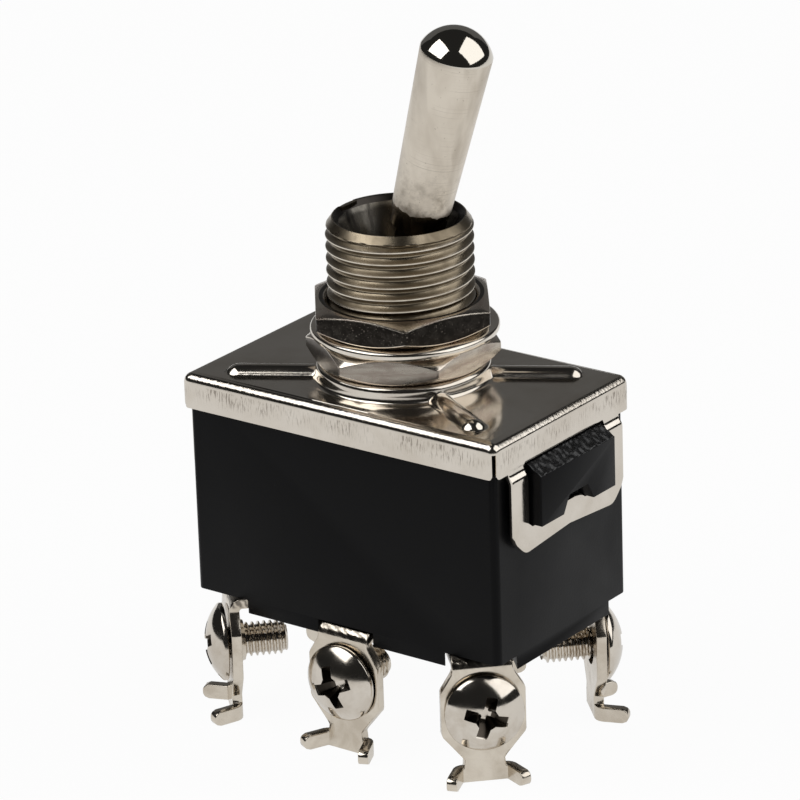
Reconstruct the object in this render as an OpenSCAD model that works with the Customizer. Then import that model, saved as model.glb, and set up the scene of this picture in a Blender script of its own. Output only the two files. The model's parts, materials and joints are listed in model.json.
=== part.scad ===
// Double-pole panel toggle switch with six screw terminals.
// Millimetres, +Z up. The origin is on the bushing's axis, at the level of the terminals' feet.
// X runs along the case, Y across it, and the lever tips along X.

/* [Case] */
// Length of the moulded case along X
case_l = 30.5; // [30:0.1:32]
// Width of the moulded case along Y
case_w = 18.2; // [17.8:0.1:19]
// Height of the moulded case
case_h = 19.8; // [19:0.1:21]
// Height of the case's underside above the terminals' feet
case_z = 9.7; // [9.4:0.1:10]
// Thickness of the case's side walls
case_wall = 1.4; // [1.2:0.1:1.6]
// Thickness of the case's floor
case_floor = 2.3; // [2.2:0.1:2.5]
// Radius of the case's upright corners
case_corner_r = 0.6; // [0.4:0.1:1.4]
// Depth of the channels in the underside that hold the terminal strips
channel_h = 1.15; // [1:0.05:1.3]
// Width of those channels
channel_w = 5.5; // [5.2:0.1:6]
// Width of the lug on each end that the cover's strap hooks under
lug_w = 10.4; // [9:0.1:10.6]
// How far the lug stands out of the end of the case
lug_out = 1.8; // [1.4:0.1:2]

/* [Cover] */
// Thickness of the cover's steel sheet
sheet_t = 0.4; // [0.3:0.05:0.45]
// Depth of the cover's flanges, from its top face
flange_h = 2.9; // [2.6:0.1:3.2]
// Outside radius of the cover's bends
bend_r = 0.8; // [0.6:0.1:1]
// Height of the round boss pressed up in the middle of the cover
boss_h = 1.4; // [1.2:0.1:1.6]
// Radius of that boss
boss_r = 7.15; // [7:0.05:7.3]
// Width of the four stiffening ribs where they leave the cover's top
rib_w = 2.1; // [1.6:0.1:2.4]
// Height of the ribs
rib_h = 0.7; // [0.5:0.1:0.9]
// Distance from the bushing's axis to the tip of a rib
rib_reach = 14.6; // [13:0.1:15]

/* [Bushing and nuts] */
// Outside diameter of the bushing's M12 x 1 thread
thread_d = 12; // [12:12]
// Height of the bushing's rim above the cover's top
bushing_h = 13.66; // [13:0.01:14]
// Width across the flats of both nuts
nut_af = 14; // [14:14]
// Thickness of a nut
nut_h = 2.4; // [2.2:0.1:2.6]
// Thickness of the washer between the nuts
washer_h = 0.75; // [0.6:0.05:0.9]
// Outside diameter of the washer
washer_d = 15.4; // [15:0.1:16]
// How far the loose washer lies off the bushing's axis
washer_shift = 0.2; // [0:0.05:0.25]
// Width of the keyway down the bushing's side
keyway_w = 2; // [1.8:0.1:2.2]
// Distance from the bushing's axis to the keyway's flat floor
keyway_floor = 4.95; // [4.9:0.05:5.2]

/* [Lever] */
// Tilt of the lever to each side of upright
lever_tilt = 16; // [14:0.5:16]
// Height of the lever's pivot above the cover's top
pivot_up = 6.7; // [6.5:0.1:7]
// Distance from the pivot to the lower end of the lever's bat
bat_from = 8.1; // [8:0.1:9]
// Length of the bat, up to the edge of its dome
bat_l = 14.4; // [12:0.1:17]
// Radius of the bat at its lower end
bat_r_low = 2.4; // [2.2:0.05:2.5]
// Radius of the bat at the edge of its dome
bat_r_top = 2.95; // [2.7:0.05:3.2]
// Height of the dome
dome_h = 1.95; // [1.6:0.05:2.4]
// Radius of the lever's cross pin
pin_r = 0.9; // [0.8:0.05:0.9]

/* [Terminals] */
// Thickness of a terminal's brass plate
plate_t = 0.85; // [0.8:0.05:0.9]
// Width of a terminal's strip and neck
neck_w = 4.9; // [4.6:0.1:5.1]
// Width of a terminal across the screw
plate_w = 6.9; // [6.5:0.1:7.2]
// Width of a terminal at its waist, under the screw
waist_w = 3.3; // [3:0.1:3.6]
// Distance from the middle of the case to the front of a corner terminal, along X
corner_x = 13.05; // [12.9:0.05:13.2]
// Distance from the middle of the case to the front of a corner terminal, along Y
corner_y = 8.25; // [8.1:0.05:8.4]
// Distance from the middle of the case to the front of a middle terminal, along Y
middle_y = 9.6; // [9.5:0.05:9.7]
// Height of the terminal screws above the feet
screw_z = 6.2; // [6.1:0.05:6.3]
// Radius of a terminal screw's head
head_r = 3.25; // [3:0.05:3.3]
// Height of a terminal screw's head
head_h = 1.7; // [1.5:0.1:1.9]
// Radius of a terminal screw's M3 thread
screw_r = 1.45; // [1.4:0.01:1.46]
// Gap between a screw's head and its terminal
screw_gap = 0.2; // [0:0.05:0.4]

/* [Contacts] */
// Distance from the middle of the case to each row of contacts
pole_y = 4.4; // [4.3:0.05:4.5]
// Height of the rockers' pivots above the feet
fulcrum_z = 14.2; // [14.2:0.05:14.3]
// Tilt of a rocker to each side of level
rocker_tilt = 6; // [6:0.1:6.2]
// Thickness of a rocker's copper strip
rocker_t = 0.8; // [0.7:0.05:0.8]
// Width of a rocker's strip
rocker_w = 3.9; // [3.6:0.1:3.9]
// Gap between a plunger's nose and its rocker
nose_gap = 0.12; // [0.1:0.01:0.15]

/* [Hidden] */
$fn = 96;

black_plastic = [0.11, 0.11, 0.12];
fish_paper = [0.35, 0.33, 0.30];
brown_resin = [0.36, 0.20, 0.12];
white_nylon = [0.90, 0.88, 0.82];
nickel = [0.80, 0.77, 0.72];
dark_nickel = [0.55, 0.52, 0.47];
copper = [0.80, 0.50, 0.34];
silver = [0.88, 0.88, 0.90];
steel = [0.62, 0.62, 0.64];

eps = 0.01;
cut_l = 10;

// Levels
case_top = case_z + case_h;
cover_top = case_top + sheet_t;
boss_top = cover_top + boss_h;
flange_bottom = cover_top - flange_h;
lower_nut_z = boss_top;
washer_z = lower_nut_z + nut_h;
upper_nut_z = washer_z + washer_h;
rim_z = cover_top + bushing_h;
pivot_z = cover_top + pivot_up;
floor_top = case_z + case_floor;
strip_top = case_z + channel_h;
strip_bottom = strip_top - plate_t;

// Outside of the cover
fit_gap = 0.05;
cover_l = case_l + 2 * (sheet_t + fit_gap);
cover_w = case_w + 2 * (sheet_t + fit_gap);
rib_aim = 0.6;
boss_edge_r = 0.5;
boss_inside_r = 0.2;

// Inside and edges of the case
case_edge_r = 0.45;
barrier_t = 1.4;
barrier_top = 17.2;
channel_out = 6;

// Lug and strap on each end
lug_bottom = case_z + 12.25;
lug_face_top = case_z + 16.5;
lug_top = flange_bottom + 0.05;
lug_ramp_in = 0.45;
lug_root = 0.2;
lug_notch_back = 0.3;
lug_notch_h = 1.45;
lug_notch_low = 4.2;
lug_notch_high = 2.56;
strap_jog = 0.4;
strap_jog_h = 0.9;
strap_lap = 0.8;
strap_half = 7.7;
strap_inner = 5.6;
strap_bottom = 19.8;
strap_bar = 2;
strap_corner = 1.5;
strap_inner_corner = 0.5;
strap_stake = 0.55;
stake_low = 3.4;
stake_high = 2.6;
window_top = flange_bottom + 0.25;
slit_w = 0.35;
slit_l = 3;
slit_in = 0.2;

// Insulating plate under the cover
insulator_t = 0.6;
insulator_ledge = 0.7;
insulator_slot_l = 9;
insulator_slot_w = 4;

// Bushing
thread_r = thread_d / 2;
thread_share = 0.2;
thread_core_r = thread_r - thread_share;
rim_r = 5.45;
mouth_r = 5.15;
throat_r = 3.2;
foot_bore_r = 4.3;
throat_above = 1.4;
throat_below = 2.2;
bushing_flange_r = boss_r - sheet_t - 0.1;
bushing_foot = case_top;
bore_gap = 0.05;
pin_slot_end = 4.8;
pin_half = 4.7;
nut_top_bevel = 0.35;
nut_bottom_bevel = 0.75;
nut_face_in = 0.3;
nut_cone_spare = 0.1;
nut_seam_turn = 10;
lower_nut_turn = 26.8;
upper_nut_turn = 7.7;
washer_bore_r = 6.25;
washer_edge_r = 0.3;
washer_way = [0.8, 0.6];

// Lever below the bat
collar_r = 2.05;
collar_h = 0.55;
tongue_x = 3;
tongue_y = 2.2;
tongue_down = 15;
hub_r = 2.4;
hub_w = 3.2;

// Actuator on the lever's lower end
actuator_from = 9.5;
actuator_to = 16.3;
actuator_x = 4.6;
actuator_y = 13.8;
actuator_r = 0.6;
pocket_from = 10.7;
pocket_r = 1.6;
plunger_r = 1.5;
plunger_from = 13;
plunger_bore_r = 1.05;
plunger_bore_l = 3;
nose_r = 1;
nose_l = 1.6;
spring_r = 0.78;
spring_wire = 0.16;
spring_turns = 6;
spring_sides = 8;
spring_steps = 14;

// Rocker: its saddle follows the path of the plunger's nose
trunnion_r = 0.5;
saddle_low = 1.15;
saddle_half = 5.6;
nose_reach = pivot_z - fulcrum_z - saddle_low - nose_gap - nose_r;
pivot_rise = pivot_z - fulcrum_z;
nose_x = nose_reach * sin(lever_tilt);
nose_z = pivot_rise - nose_reach * cos(lever_tilt);
path_x = nose_x * cos(rocker_tilt) - nose_z * sin(rocker_tilt);
path_rise = nose_x * sin(rocker_tilt) + nose_z * cos(rocker_tilt) - pivot_rise + nose_reach;
path_r = (path_x * path_x + path_rise * path_rise) / (2 * path_rise);
saddle_r = path_r + nose_r + nose_gap;
saddle_centre = saddle_low + saddle_r;
rocker_half = 11;
rocker_lap = 0.3;
rocker_fn = 180;
tab_from = 7.2;
contact_gap = 0.08;
contact_r = 1.5;
contact_t = 0.7;
contact_dome = 0.12;
contact_rim = 0.4;
tail_r = 0.7;
tail_head_r = 1.1;
tail_head_h = 0.3;
tail_edge = 0.1;
fixed_r = 1.9;
fixed_h = 1.2;
contact_x = corner_x - (corner_y - pole_y);
tab_low = contact_x * sin(rocker_tilt) + (floor_top + fixed_h - fulcrum_z) * cos(rocker_tilt)
    + contact_gap + contact_t;
rivet_r = 1.1;
rivet_head_h = 0.6;
rivet_gap = 0.03;
rivet_edge = 0.3;
rivet_top_edge = 0.15;
common_h = 0.6;
common_r = 1.7;

// Fulcrum bracket
bracket_x = 4.2;
bracket_t = 0.7;
ear_in = rocker_w / 2 + 0.2;
ear_t = 0.6;
ear_x = 3;
ear_top = fulcrum_z + 0.5;
notch_gap = 0.06;

// Terminal outline, up from the feet
tail_top = 1.25;
waist_z = 1.95;
side_low = 4.25;
side_high = 8.1;
neck_z = 9.7;
strip_l = 7.5;
inner_bend_r = 0.25;
prong_root = 1.75;
prong_l = 2.45;
prong_turn = 62;
screw_hole_r = 1.5;
burr_r = 1.85;
burr_h = 0.5;
shank_behind = 4.1;
cross_w = 0.95;
cross_l = 3.9;
cross_depth = 1.05;
head_edge = 0.35;

// How far each screw's recess is turned
spin_front_left = 30;
spin_front_middle = 21;
spin_front_right = -16;
spin_back_left = 55;
spin_back_middle = 8;
spin_back_right = 70;

// Where each terminal's front face is, and how far it is turned about Z from facing -Y
at_front_left = [-corner_x, -corner_y, -45];
at_front_middle = [0, -middle_y, 0];
at_front_right = [corner_x, -corner_y, 45];
at_back_left = [-corner_x, corner_y, -135];
at_back_middle = [0, middle_y, 180];
at_back_right = [corner_x, corner_y, 135];
places = [at_front_left, at_front_middle, at_front_right, at_back_left, at_back_middle, at_back_right];

// Radius of a circle's cap from its half width and its height
function cap_r(half, h) = (half * half + h * h) / (2 * h);

// Height of the rocker's arc of radius r, at x from its middle
function saddle_z(x, r) = saddle_centre - sqrt(r * r - x * x);

module centred_box(x, y, z0, z1) {
    translate([-x / 2, -y / 2, z0])
        cube([x, y, z1 - z0]);
}

// A 2D outline in X and Z, run along Y from -w/2 to w/2
module along_y(w) {
    translate([0, w / 2, 0])
        rotate([90, 0, 0])
            linear_extrude(w)
                children();
}

// A 2D outline in Y and Z, run along X from x0 to x1
module along_x(x0, x1) {
    translate([x0, 0, 0])
        rotate([90, 0, 90])
            linear_extrude(x1 - x0)
                children();
}

module rounded_rect(x, y, r) {
    square([x - 2 * r, y], center = true);
    square([x, y - 2 * r], center = true);
    for (i = [-1, 1], j = [-1, 1])
        translate([i * (x / 2 - r), j * (y / 2 - r)])
            circle(r);
}

// Moves a piece from upright to the lever's rest tilt, about the pivot
module on_lever() {
    translate([0, 0, pivot_z])
        rotate([0, lever_tilt, 0])
            children();
}

// Moves a piece from level to the rocker's rest tilt; side is -1 at the front and 1 at the back
module on_rocker(side) {
    translate([0, side * pole_y, fulcrum_z])
        rotate([0, -rocker_tilt, 0])
            children();
}

module at_place(place) {
    translate([place[0], place[1], 0])
        rotate([0, 0, place[2]])
            children();
}

// ---- Case

// Lug outline seen along Y
module lug_outline(face) {
    polygon([
        [face - lug_root, lug_bottom],
        [face + lug_out, lug_bottom],
        [face + lug_out, lug_face_top],
        [face + lug_ramp_in, lug_top],
        [face - lug_root, lug_top]
    ]);
}

module lug() {
    difference() {
        along_y(lug_w)
            lug_outline(case_l / 2);
        along_x(case_l / 2 + lug_notch_back, case_l / 2 + lug_out + 1)
            polygon([
                [-lug_notch_low / 2, lug_bottom - 1],
                [lug_notch_low / 2, lug_bottom - 1],
                [lug_notch_low / 2, lug_bottom],
                [lug_notch_high / 2, lug_bottom + lug_notch_h],
                [-lug_notch_high / 2, lug_bottom + lug_notch_h],
                [-lug_notch_low / 2, lug_bottom]
            ]);
    }
}

module case() {
    wall2 = 2 * case_wall;
    color(black_plastic) {
        difference() {
            intersection() {
                translate([0, 0, case_z])
                    linear_extrude(case_h)
                        rounded_rect(case_l, case_w, case_corner_r);
                bent_block(case_l, case_w, case_edge_r, case_z, case_top);
            }
            centred_box(case_l - wall2, case_w - wall2, floor_top, case_top + 1);
            centred_box(
                case_l - 2 * insulator_ledge, case_w - 2 * insulator_ledge,
                case_top - insulator_t - fit_gap, case_top + 1
            );
            for (place = places)
                at_place(place) {
                    translate([-channel_w / 2, -channel_out, case_z - 1])
                        cube([channel_w, strip_l + channel_out + fit_gap, channel_h + 1]);
                }
            for (side = [-1, 1], x = [-contact_x, 0, contact_x])
                translate([x, side * pole_y, case_z - 1])
                    cylinder(r = rivet_r + rivet_gap, h = case_floor + 2);
        }
        centred_box(case_l - wall2 + eps, barrier_t, floor_top - eps, barrier_top);
        lug();
        rotate([0, 0, 180])
            lug();
    }
}

module insulator() {
    size_x = case_l - 2 * insulator_ledge - 2 * fit_gap;
    size_y = case_w - 2 * insulator_ledge - 2 * fit_gap;
    color(fish_paper)
        translate([0, 0, case_top - insulator_t])
            linear_extrude(insulator_t)
                difference() {
                    square([size_x, size_y], center = true);
                    rounded_rect(insulator_slot_l, insulator_slot_w, 1);
                }
}

// ---- Cover

// A flat-bottomed block with its two upper edges rounded, seen along one side
module bent_outline(w, r, z0, z1) {
    translate([-w / 2, z0])
        square([w, z1 - r - z0]);
    translate([-w / 2 + r, z0])
        square([w - 2 * r, z1 - z0]);
    for (i = [-1, 1])
        translate([i * (w / 2 - r), z1 - r])
            circle(r);
}

module bent_block(l, w, r, z0, z1) {
    intersection() {
        along_y(w)
            bent_outline(l, r, z0, z1);
        along_x(-l / 2, l / 2)
            bent_outline(w, r, z0, z1);
    }
}

// A round-topped rib towards each corner, lessened by inset for its hollow underside
module ribs(inset) {
    r = cap_r(rib_w / 2, rib_h);
    start = boss_r - 1;
    slope = atan2(case_w / 2 - rib_aim, case_l / 2 - rib_aim);
    for (turn = [slope, 180 - slope, 180 + slope, -slope])
        rotate([0, 0, turn])
            translate([start, 0, cover_top + rib_h - r]) {
                rotate([0, 90, 0])
                    cylinder(r = r - inset, h = rib_reach - start - rib_w / 2);
                translate([rib_reach - start - rib_w / 2, 0, 0])
                    sphere(r - inset);
            }
}

// Boss outline from the axis out, with a rounded upper edge
module boss_outline(r, z1, edge) {
    translate([0, flange_bottom])
        square([r, z1 - edge - flange_bottom]);
    translate([0, flange_bottom])
        square([r - edge, z1 - flange_bottom]);
    translate([r - edge, z1 - edge])
        circle(edge);
}

// The strap's outline in Y and Z: two legs and a bar whose middle is staked up into the lug's notch
module strap_outline() {
    bar_top = strap_bottom + strap_bar;
    difference() {
        polygon([
            [-strap_half, window_top + 1],
            [-strap_half, strap_bottom + strap_corner],
            [-strap_half + strap_corner, strap_bottom],
            [0, strap_bottom + strap_stake],
            [strap_half - strap_corner, strap_bottom],
            [strap_half, strap_bottom + strap_corner],
            [strap_half, window_top + 1]
        ]);
        polygon([
            [-strap_inner, window_top],
            [-strap_inner, bar_top + strap_inner_corner],
            [-strap_inner + strap_inner_corner, bar_top],
            [-stake_low / 2, bar_top],
            [-stake_high / 2, bar_top + strap_stake],
            [stake_high / 2, bar_top + strap_stake],
            [stake_low / 2, bar_top],
            [strap_inner - strap_inner_corner, bar_top],
            [strap_inner, bar_top + strap_inner_corner],
            [strap_inner, window_top]
        ]);
    }
}

// The strap seen along Y: it leaves the flange and jogs out past the end of the case
module strap_profile() {
    inner = cover_l / 2 - sheet_t;
    outer = cover_l / 2;
    jog_z = flange_bottom - strap_jog_h;
    polygon([
        [inner, window_top + strap_lap],
        [inner, flange_bottom],
        [inner + strap_jog, jog_z],
        [inner + strap_jog, strap_bottom - 1],
        [outer + strap_jog, strap_bottom - 1],
        [outer + strap_jog, jog_z],
        [outer, flange_bottom],
        [outer, window_top + strap_lap]
    ]);
}

module strap() {
    intersection() {
        along_y(2 * strap_half)
            strap_profile();
        along_x(case_l / 2, case_l / 2 + 2)
            strap_outline();
    }
}

module cover() {
    color(nickel) {
        difference() {
            union() {
                bent_block(cover_l, cover_w, bend_r, flange_bottom, cover_top);
                intersection() {
                    ribs(0);
                    centred_box(cover_l, cover_w, cover_top - sheet_t / 2, cover_top + rib_h);
                }
                rotate_extrude()
                    boss_outline(boss_r, boss_top, boss_edge_r);
            }
            bent_block(
                cover_l - 2 * sheet_t, cover_w - 2 * sheet_t, bend_r - sheet_t,
                flange_bottom - 1, cover_top - sheet_t
            );
            ribs(sheet_t);
            rotate_extrude()
                boss_outline(boss_r - sheet_t, boss_top - sheet_t, boss_inside_r);
            translate([0, 0, cover_top - 2])
                cylinder(r = thread_r + bore_gap, h = boss_h + 4);
            for (i = [-1, 1], j = [-1, 1])
                translate([i * (cover_l / 2 - slit_in), j * (cover_w / 2 - slit_in), flange_bottom - 1])
                    rotate([0, 0, i * j * 45])
                        translate([-slit_l / 2, -slit_w / 2, 0])
                            cube([slit_l, slit_w, flange_h - bend_r + 1]);
            for (i = [0, 180])
                rotate([0, 0, i])
                    centred_window();
        }
        strap();
        rotate([0, 0, 180])
            strap();
    }
}

// The strap's window reaches a little way up into the end flange
module centred_window() {
    translate([cover_l / 2 - sheet_t - eps, -strap_inner, flange_bottom - 1])
        cube([sheet_t + 1, 2 * strap_inner, window_top - flange_bottom + 1]);
}

// ---- Bushing, nuts and washer

module bushing() {
    chamfer_h = thread_r - rim_r;
    difference() {
        color(dark_nickel)
            rotate_extrude()
                polygon([
                    [foot_bore_r, bushing_foot],
                    [bushing_flange_r, bushing_foot],
                    [bushing_flange_r, boss_top - sheet_t - fit_gap],
                    [thread_core_r, boss_top - sheet_t - fit_gap],
                    [thread_core_r, upper_nut_z + nut_h],
                    [thread_r, upper_nut_z + nut_h],
                    [thread_r, rim_z - chamfer_h],
                    [rim_r, rim_z],
                    [mouth_r, rim_z],
                    [throat_r, pivot_z + throat_above],
                    [throat_r, pivot_z - throat_below]
                ]);
        translate([-thread_r - 2, -keyway_w / 2, boss_top])
            cube([thread_r + 2 - keyway_floor, keyway_w, bushing_h]);
        translate([0, 0, pivot_z])
            rotate([90, 0, 0])
                cylinder(r = pin_r + bore_gap, h = 2 * pin_slot_end, center = true);
        centred_box(2 * (pin_r + bore_gap), 2 * pin_slot_end, bushing_foot - 1, pivot_z);
    }
}

// A hexagon nut whose corners are turned away by cones above and below
module nut(z, turn) {
    corner_r = nut_af / 2 / cos(30);
    face_r = nut_af / 2 - nut_face_in;
    wide_r = corner_r + nut_cone_spare;
    reach = (wide_r - face_r) / (corner_r - face_r);
    color(nickel)
        translate([0, 0, z])
            rotate([0, 0, turn])
                difference() {
                    intersection() {
                        cylinder(r = corner_r, h = nut_h, $fn = 6);
                        rotate([0, 0, nut_seam_turn])
                            rotate_extrude()
                                polygon([
                                    [0, 0],
                                    [face_r, 0],
                                    [wide_r, nut_bottom_bevel * reach],
                                    [wide_r, nut_h - nut_top_bevel * reach],
                                    [face_r, nut_h],
                                    [0, nut_h]
                                ]);
                    }
                    translate([0, 0, -1])
                        cylinder(r = thread_core_r + bore_gap, h = nut_h + 2);
                }
}

module washer() {
    edge = washer_edge_r;
    color(nickel)
        translate([washer_shift * washer_way[0], washer_shift * washer_way[1], washer_z])
            rotate_extrude() {
                translate([washer_bore_r, 0])
                    square([washer_d / 2 - washer_bore_r - edge, washer_h]);
                translate([washer_bore_r, edge])
                    square([washer_d / 2 - washer_bore_r, washer_h - 2 * edge]);
                for (z = [edge, washer_h - edge])
                    translate([washer_d / 2 - edge, z])
                        circle(edge);
            }
}

// ---- Lever, pin and actuator

module lever() {
    dome_r = cap_r(bat_r_top, dome_h);
    color(nickel)
        on_lever() {
            difference() {
                union() {
                    centred_box(tongue_x, tongue_y, -tongue_down, bat_from - collar_h + eps);
                    rotate([90, 0, 0])
                        cylinder(r = hub_r, h = hub_w, center = true);
                }
                rotate([90, 0, 0])
                    cylinder(r = pin_r + bore_gap, h = hub_w + 2, center = true);
            }
            translate([0, 0, bat_from - collar_h])
                cylinder(r = collar_r, h = collar_h + eps);
            translate([0, 0, bat_from])
                cylinder(r1 = bat_r_low, r2 = bat_r_top, h = bat_l);
            translate([0, 0, bat_from + bat_l])
                intersection() {
                    translate([0, 0, dome_h - dome_r])
                        sphere(dome_r);
                    translate([0, 0, -eps])
                        cylinder(r = bat_r_top, h = dome_h + 1);
                }
        }
}

module lever_pin() {
    color(steel)
        translate([0, 0, pivot_z])
            rotate([90, 0, 0])
                cylinder(r = pin_r, h = 2 * pin_half, center = true);
}

module actuator() {
    color(brown_resin)
        on_lever()
            difference() {
                translate([0, 0, -actuator_to])
                    linear_extrude(actuator_to - actuator_from)
                        rounded_rect(actuator_x, actuator_y, actuator_r);
                centred_box(
                    tongue_x + 2 * bore_gap, tongue_y + 2 * bore_gap,
                    -tongue_down - fit_gap, -actuator_from + 1
                );
                for (side = [-1, 1])
                    translate([0, side * pole_y, -actuator_to - 1])
                        cylinder(r = pocket_r, h = actuator_to - pocket_from + 1);
            }
}

module plunger(side) {
    color(white_nylon)
        on_lever()
            translate([0, side * pole_y, 0])
                difference() {
                    rotate_extrude()
                        intersection() {
                            union() {
                                translate([0, -nose_reach])
                                    circle(nose_r);
                                translate([0, -nose_reach])
                                    square([nose_r, nose_reach - plunger_from]);
                                translate([0, -nose_reach + nose_l])
                                    square([plunger_r, nose_reach - nose_l - plunger_from]);
                            }
                            translate([0, -nose_reach - 5])
                                square([5, nose_reach + 5]);
                        }
                    translate([0, 0, -plunger_from - plunger_bore_l])
                        cylinder(r = plunger_bore_r, h = plunger_bore_l + 1);
                }
}

// One point of the spring's wire: step i around the coil, corner k around the wire
function spring_point(i, k, from, length) =
    let (
        steps = spring_turns * spring_steps,
        a = 360 * spring_turns * i / steps,
        b = 360 * k / spring_sides,
        r = spring_r + spring_wire * cos(b)
    )
    [r * cos(a), r * sin(a), from + length * i / steps + spring_wire * sin(b)];

// A coil spring between the roof of its pocket and the bottom of the plunger's bore
module spring(side) {
    steps = spring_turns * spring_steps;
    low = -plunger_from - plunger_bore_l + spring_wire + fit_gap;
    length = -pocket_from - spring_wire - fit_gap - low;
    points = [for (i = [0 : steps], k = [0 : spring_sides - 1]) spring_point(i, k, low, length)];
    walls = [
        for (i = [0 : steps - 1], k = [0 : spring_sides - 1])
            let (a = i * spring_sides + k, b = i * spring_sides + (k + 1) % spring_sides)
                [a, a + spring_sides, b + spring_sides, b]
    ];
    first = [for (k = [0 : spring_sides - 1]) k];
    last = [for (k = [spring_sides - 1 : -1 : 0]) steps * spring_sides + k];
    color(steel)
        on_lever()
            translate([0, side * pole_y, 0])
                polyhedron(points, concat(walls, [first, last]));
}

// ---- Rockers and contacts

module rocker_profile() {
    intersection() {
        translate([0, saddle_centre])
            difference() {
                circle(saddle_r + rocker_t, $fn = rocker_fn);
                circle(saddle_r, $fn = rocker_fn);
            }
        translate([-saddle_half, 0])
            square([2 * saddle_half, saddle_centre / 2]);
    }
    for (i = [0, 1])
        mirror([i, 0]) {
            polygon([
                [saddle_half - rocker_lap, saddle_z(saddle_half - rocker_lap, saddle_r + rocker_t)],
                [tab_from - rocker_lap, tab_low],
                [tab_from, tab_low + rocker_t],
                [saddle_half, saddle_z(saddle_half, saddle_r)],
                [saddle_half - rocker_lap, saddle_z(saddle_half - rocker_lap, saddle_r)]
            ]);
            translate([tab_from - rocker_lap, tab_low])
                square([rocker_half - tab_from + rocker_lap, rocker_t]);
        }
}

module rocker(side) {
    color(copper)
        on_rocker(side)
            difference() {
                union() {
                    along_y(rocker_w)
                        rocker_profile();
                    rotate([90, 0, 0])
                        cylinder(r = trunnion_r, h = 2 * (ear_in + ear_t), center = true);
                }
                for (x = [-contact_x, contact_x])
                    translate([x, 0, tab_low - 1])
                        cylinder(r = tail_r + rivet_gap, h = rocker_t + 2);
            }
}

// A silver rivet through one end of a rocker; way is -1 at the left and 1 at the right
module moving_contact(side, way) {
    color(silver)
        on_rocker(side)
            translate([way * contact_x, 0, tab_low])
                rotate_extrude()
                    polygon([
                        [0, -contact_t],
                        [contact_r - contact_rim, -contact_t],
                        [contact_r, -contact_t + contact_dome],
                        [contact_r, 0],
                        [tail_r, 0],
                        [tail_r, rocker_t],
                        [tail_head_r, rocker_t],
                        [tail_head_r - tail_edge, rocker_t + tail_head_h],
                        [0, rocker_t + tail_head_h]
                    ]);
}

// A rivet through the floor: its lower head holds the terminal strip, its upper head is up_h high
module floor_rivet(x, side, upper_z, up_h, up_r) {
    translate([x, side * pole_y, 0])
        rotate_extrude()
            polygon([
                [0, strip_bottom - rivet_head_h],
                [fixed_r - rivet_edge, strip_bottom - rivet_head_h],
                [fixed_r, strip_bottom - rivet_head_h + rivet_edge],
                [fixed_r, strip_bottom],
                [rivet_r, strip_bottom],
                [rivet_r, upper_z],
                [up_r, upper_z],
                [up_r, upper_z + up_h - rivet_top_edge],
                [up_r - rivet_top_edge, upper_z + up_h],
                [0, upper_z + up_h]
            ]);
}

module fixed_contact(side, way) {
    color(silver)
        floor_rivet(way * contact_x, side, floor_top, fixed_h, fixed_r);
}

module common_rivet(side) {
    color(nickel)
        floor_rivet(0, side, floor_top + bracket_t, common_h, common_r);
}

// A bracket whose two ears carry the rocker's trunnions
module fulcrum(side) {
    color(nickel)
        translate([0, side * pole_y, 0])
            difference() {
                union() {
                    centred_box(bracket_x, 2 * (ear_in + ear_t), floor_top, floor_top + bracket_t);
                    for (i = [-1, 1])
                        translate([-ear_x / 2, i * (ear_in + ear_t / 2) - ear_t / 2, floor_top])
                            cube([ear_x, ear_t, ear_top - floor_top]);
                }
                translate([0, 0, floor_top - 1])
                    cylinder(r = rivet_r + rivet_gap, h = bracket_t + 2);
                translate([0, 0, fulcrum_z])
                    rotate([90, 0, 0])
                        cylinder(r = trunnion_r + notch_gap, h = cut_l, center = true);
                centred_box(2 * (trunnion_r + notch_gap), cut_l, fulcrum_z, ear_top + 1);
            }
}

// ---- Terminals and their screws, drawn facing -Y with the front face at y = 0

// The flat plate's outline, X across and Y up from the feet
module plate_outline() {
    half = [
        [prong_root, 0],
        [prong_root, tail_top],
        [waist_w / 2, waist_z],
        [plate_w / 2, side_low],
        [plate_w / 2, side_high],
        [neck_w / 2, neck_z],
        [neck_w / 2, strip_top - plate_t - inner_bend_r]
    ];
    last = len(half) - 1;
    polygon(concat(half, [for (i = [last : -1 : 0]) [-half[i][0], half[i][1]]]));
}

// The bend and the strip that runs in under the case, seen along X
module strip_profile() {
    outer = plate_t + inner_bend_r;
    intersection() {
        translate([outer, strip_top - outer])
            difference() {
                circle(outer);
                circle(inner_bend_r);
            }
        translate([0, strip_top - outer])
            square(outer);
    }
    translate([outer, strip_bottom])
        square([strip_l - outer, plate_t]);
}

module terminal(place, run) {
    color(nickel)
        at_place(place)
            difference() {
                union() {
                    translate([0, plate_t, 0])
                        rotate([90, 0, 0])
                            linear_extrude(plate_t)
                                plate_outline();
                    translate([-neck_w / 2, 0, 0])
                        rotate([90, 0, 90])
                            linear_extrude(neck_w)
                                strip_profile();
                    for (i = [0, 1])
                        mirror([i, 0, 0])
                            linear_extrude(tail_top)
                                translate([prong_root, plate_t / 2])
                                    rotate(-prong_turn) {
                                        circle(plate_t / 2);
                                        translate([0, -plate_t / 2])
                                            square([prong_l, plate_t]);
                                    }
                    translate([0, plate_t + burr_h, screw_z])
                        rotate([90, 0, 0])
                            cylinder(r = burr_r, h = burr_h + eps);
                }
                translate([0, 0, screw_z])
                    rotate([90, 0, 0])
                        cylinder(r = screw_hole_r, h = cut_l, center = true);
                translate([0, run, strip_bottom - 1])
                    cylinder(r = rivet_r + rivet_gap, h = 3);
            }
}

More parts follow.
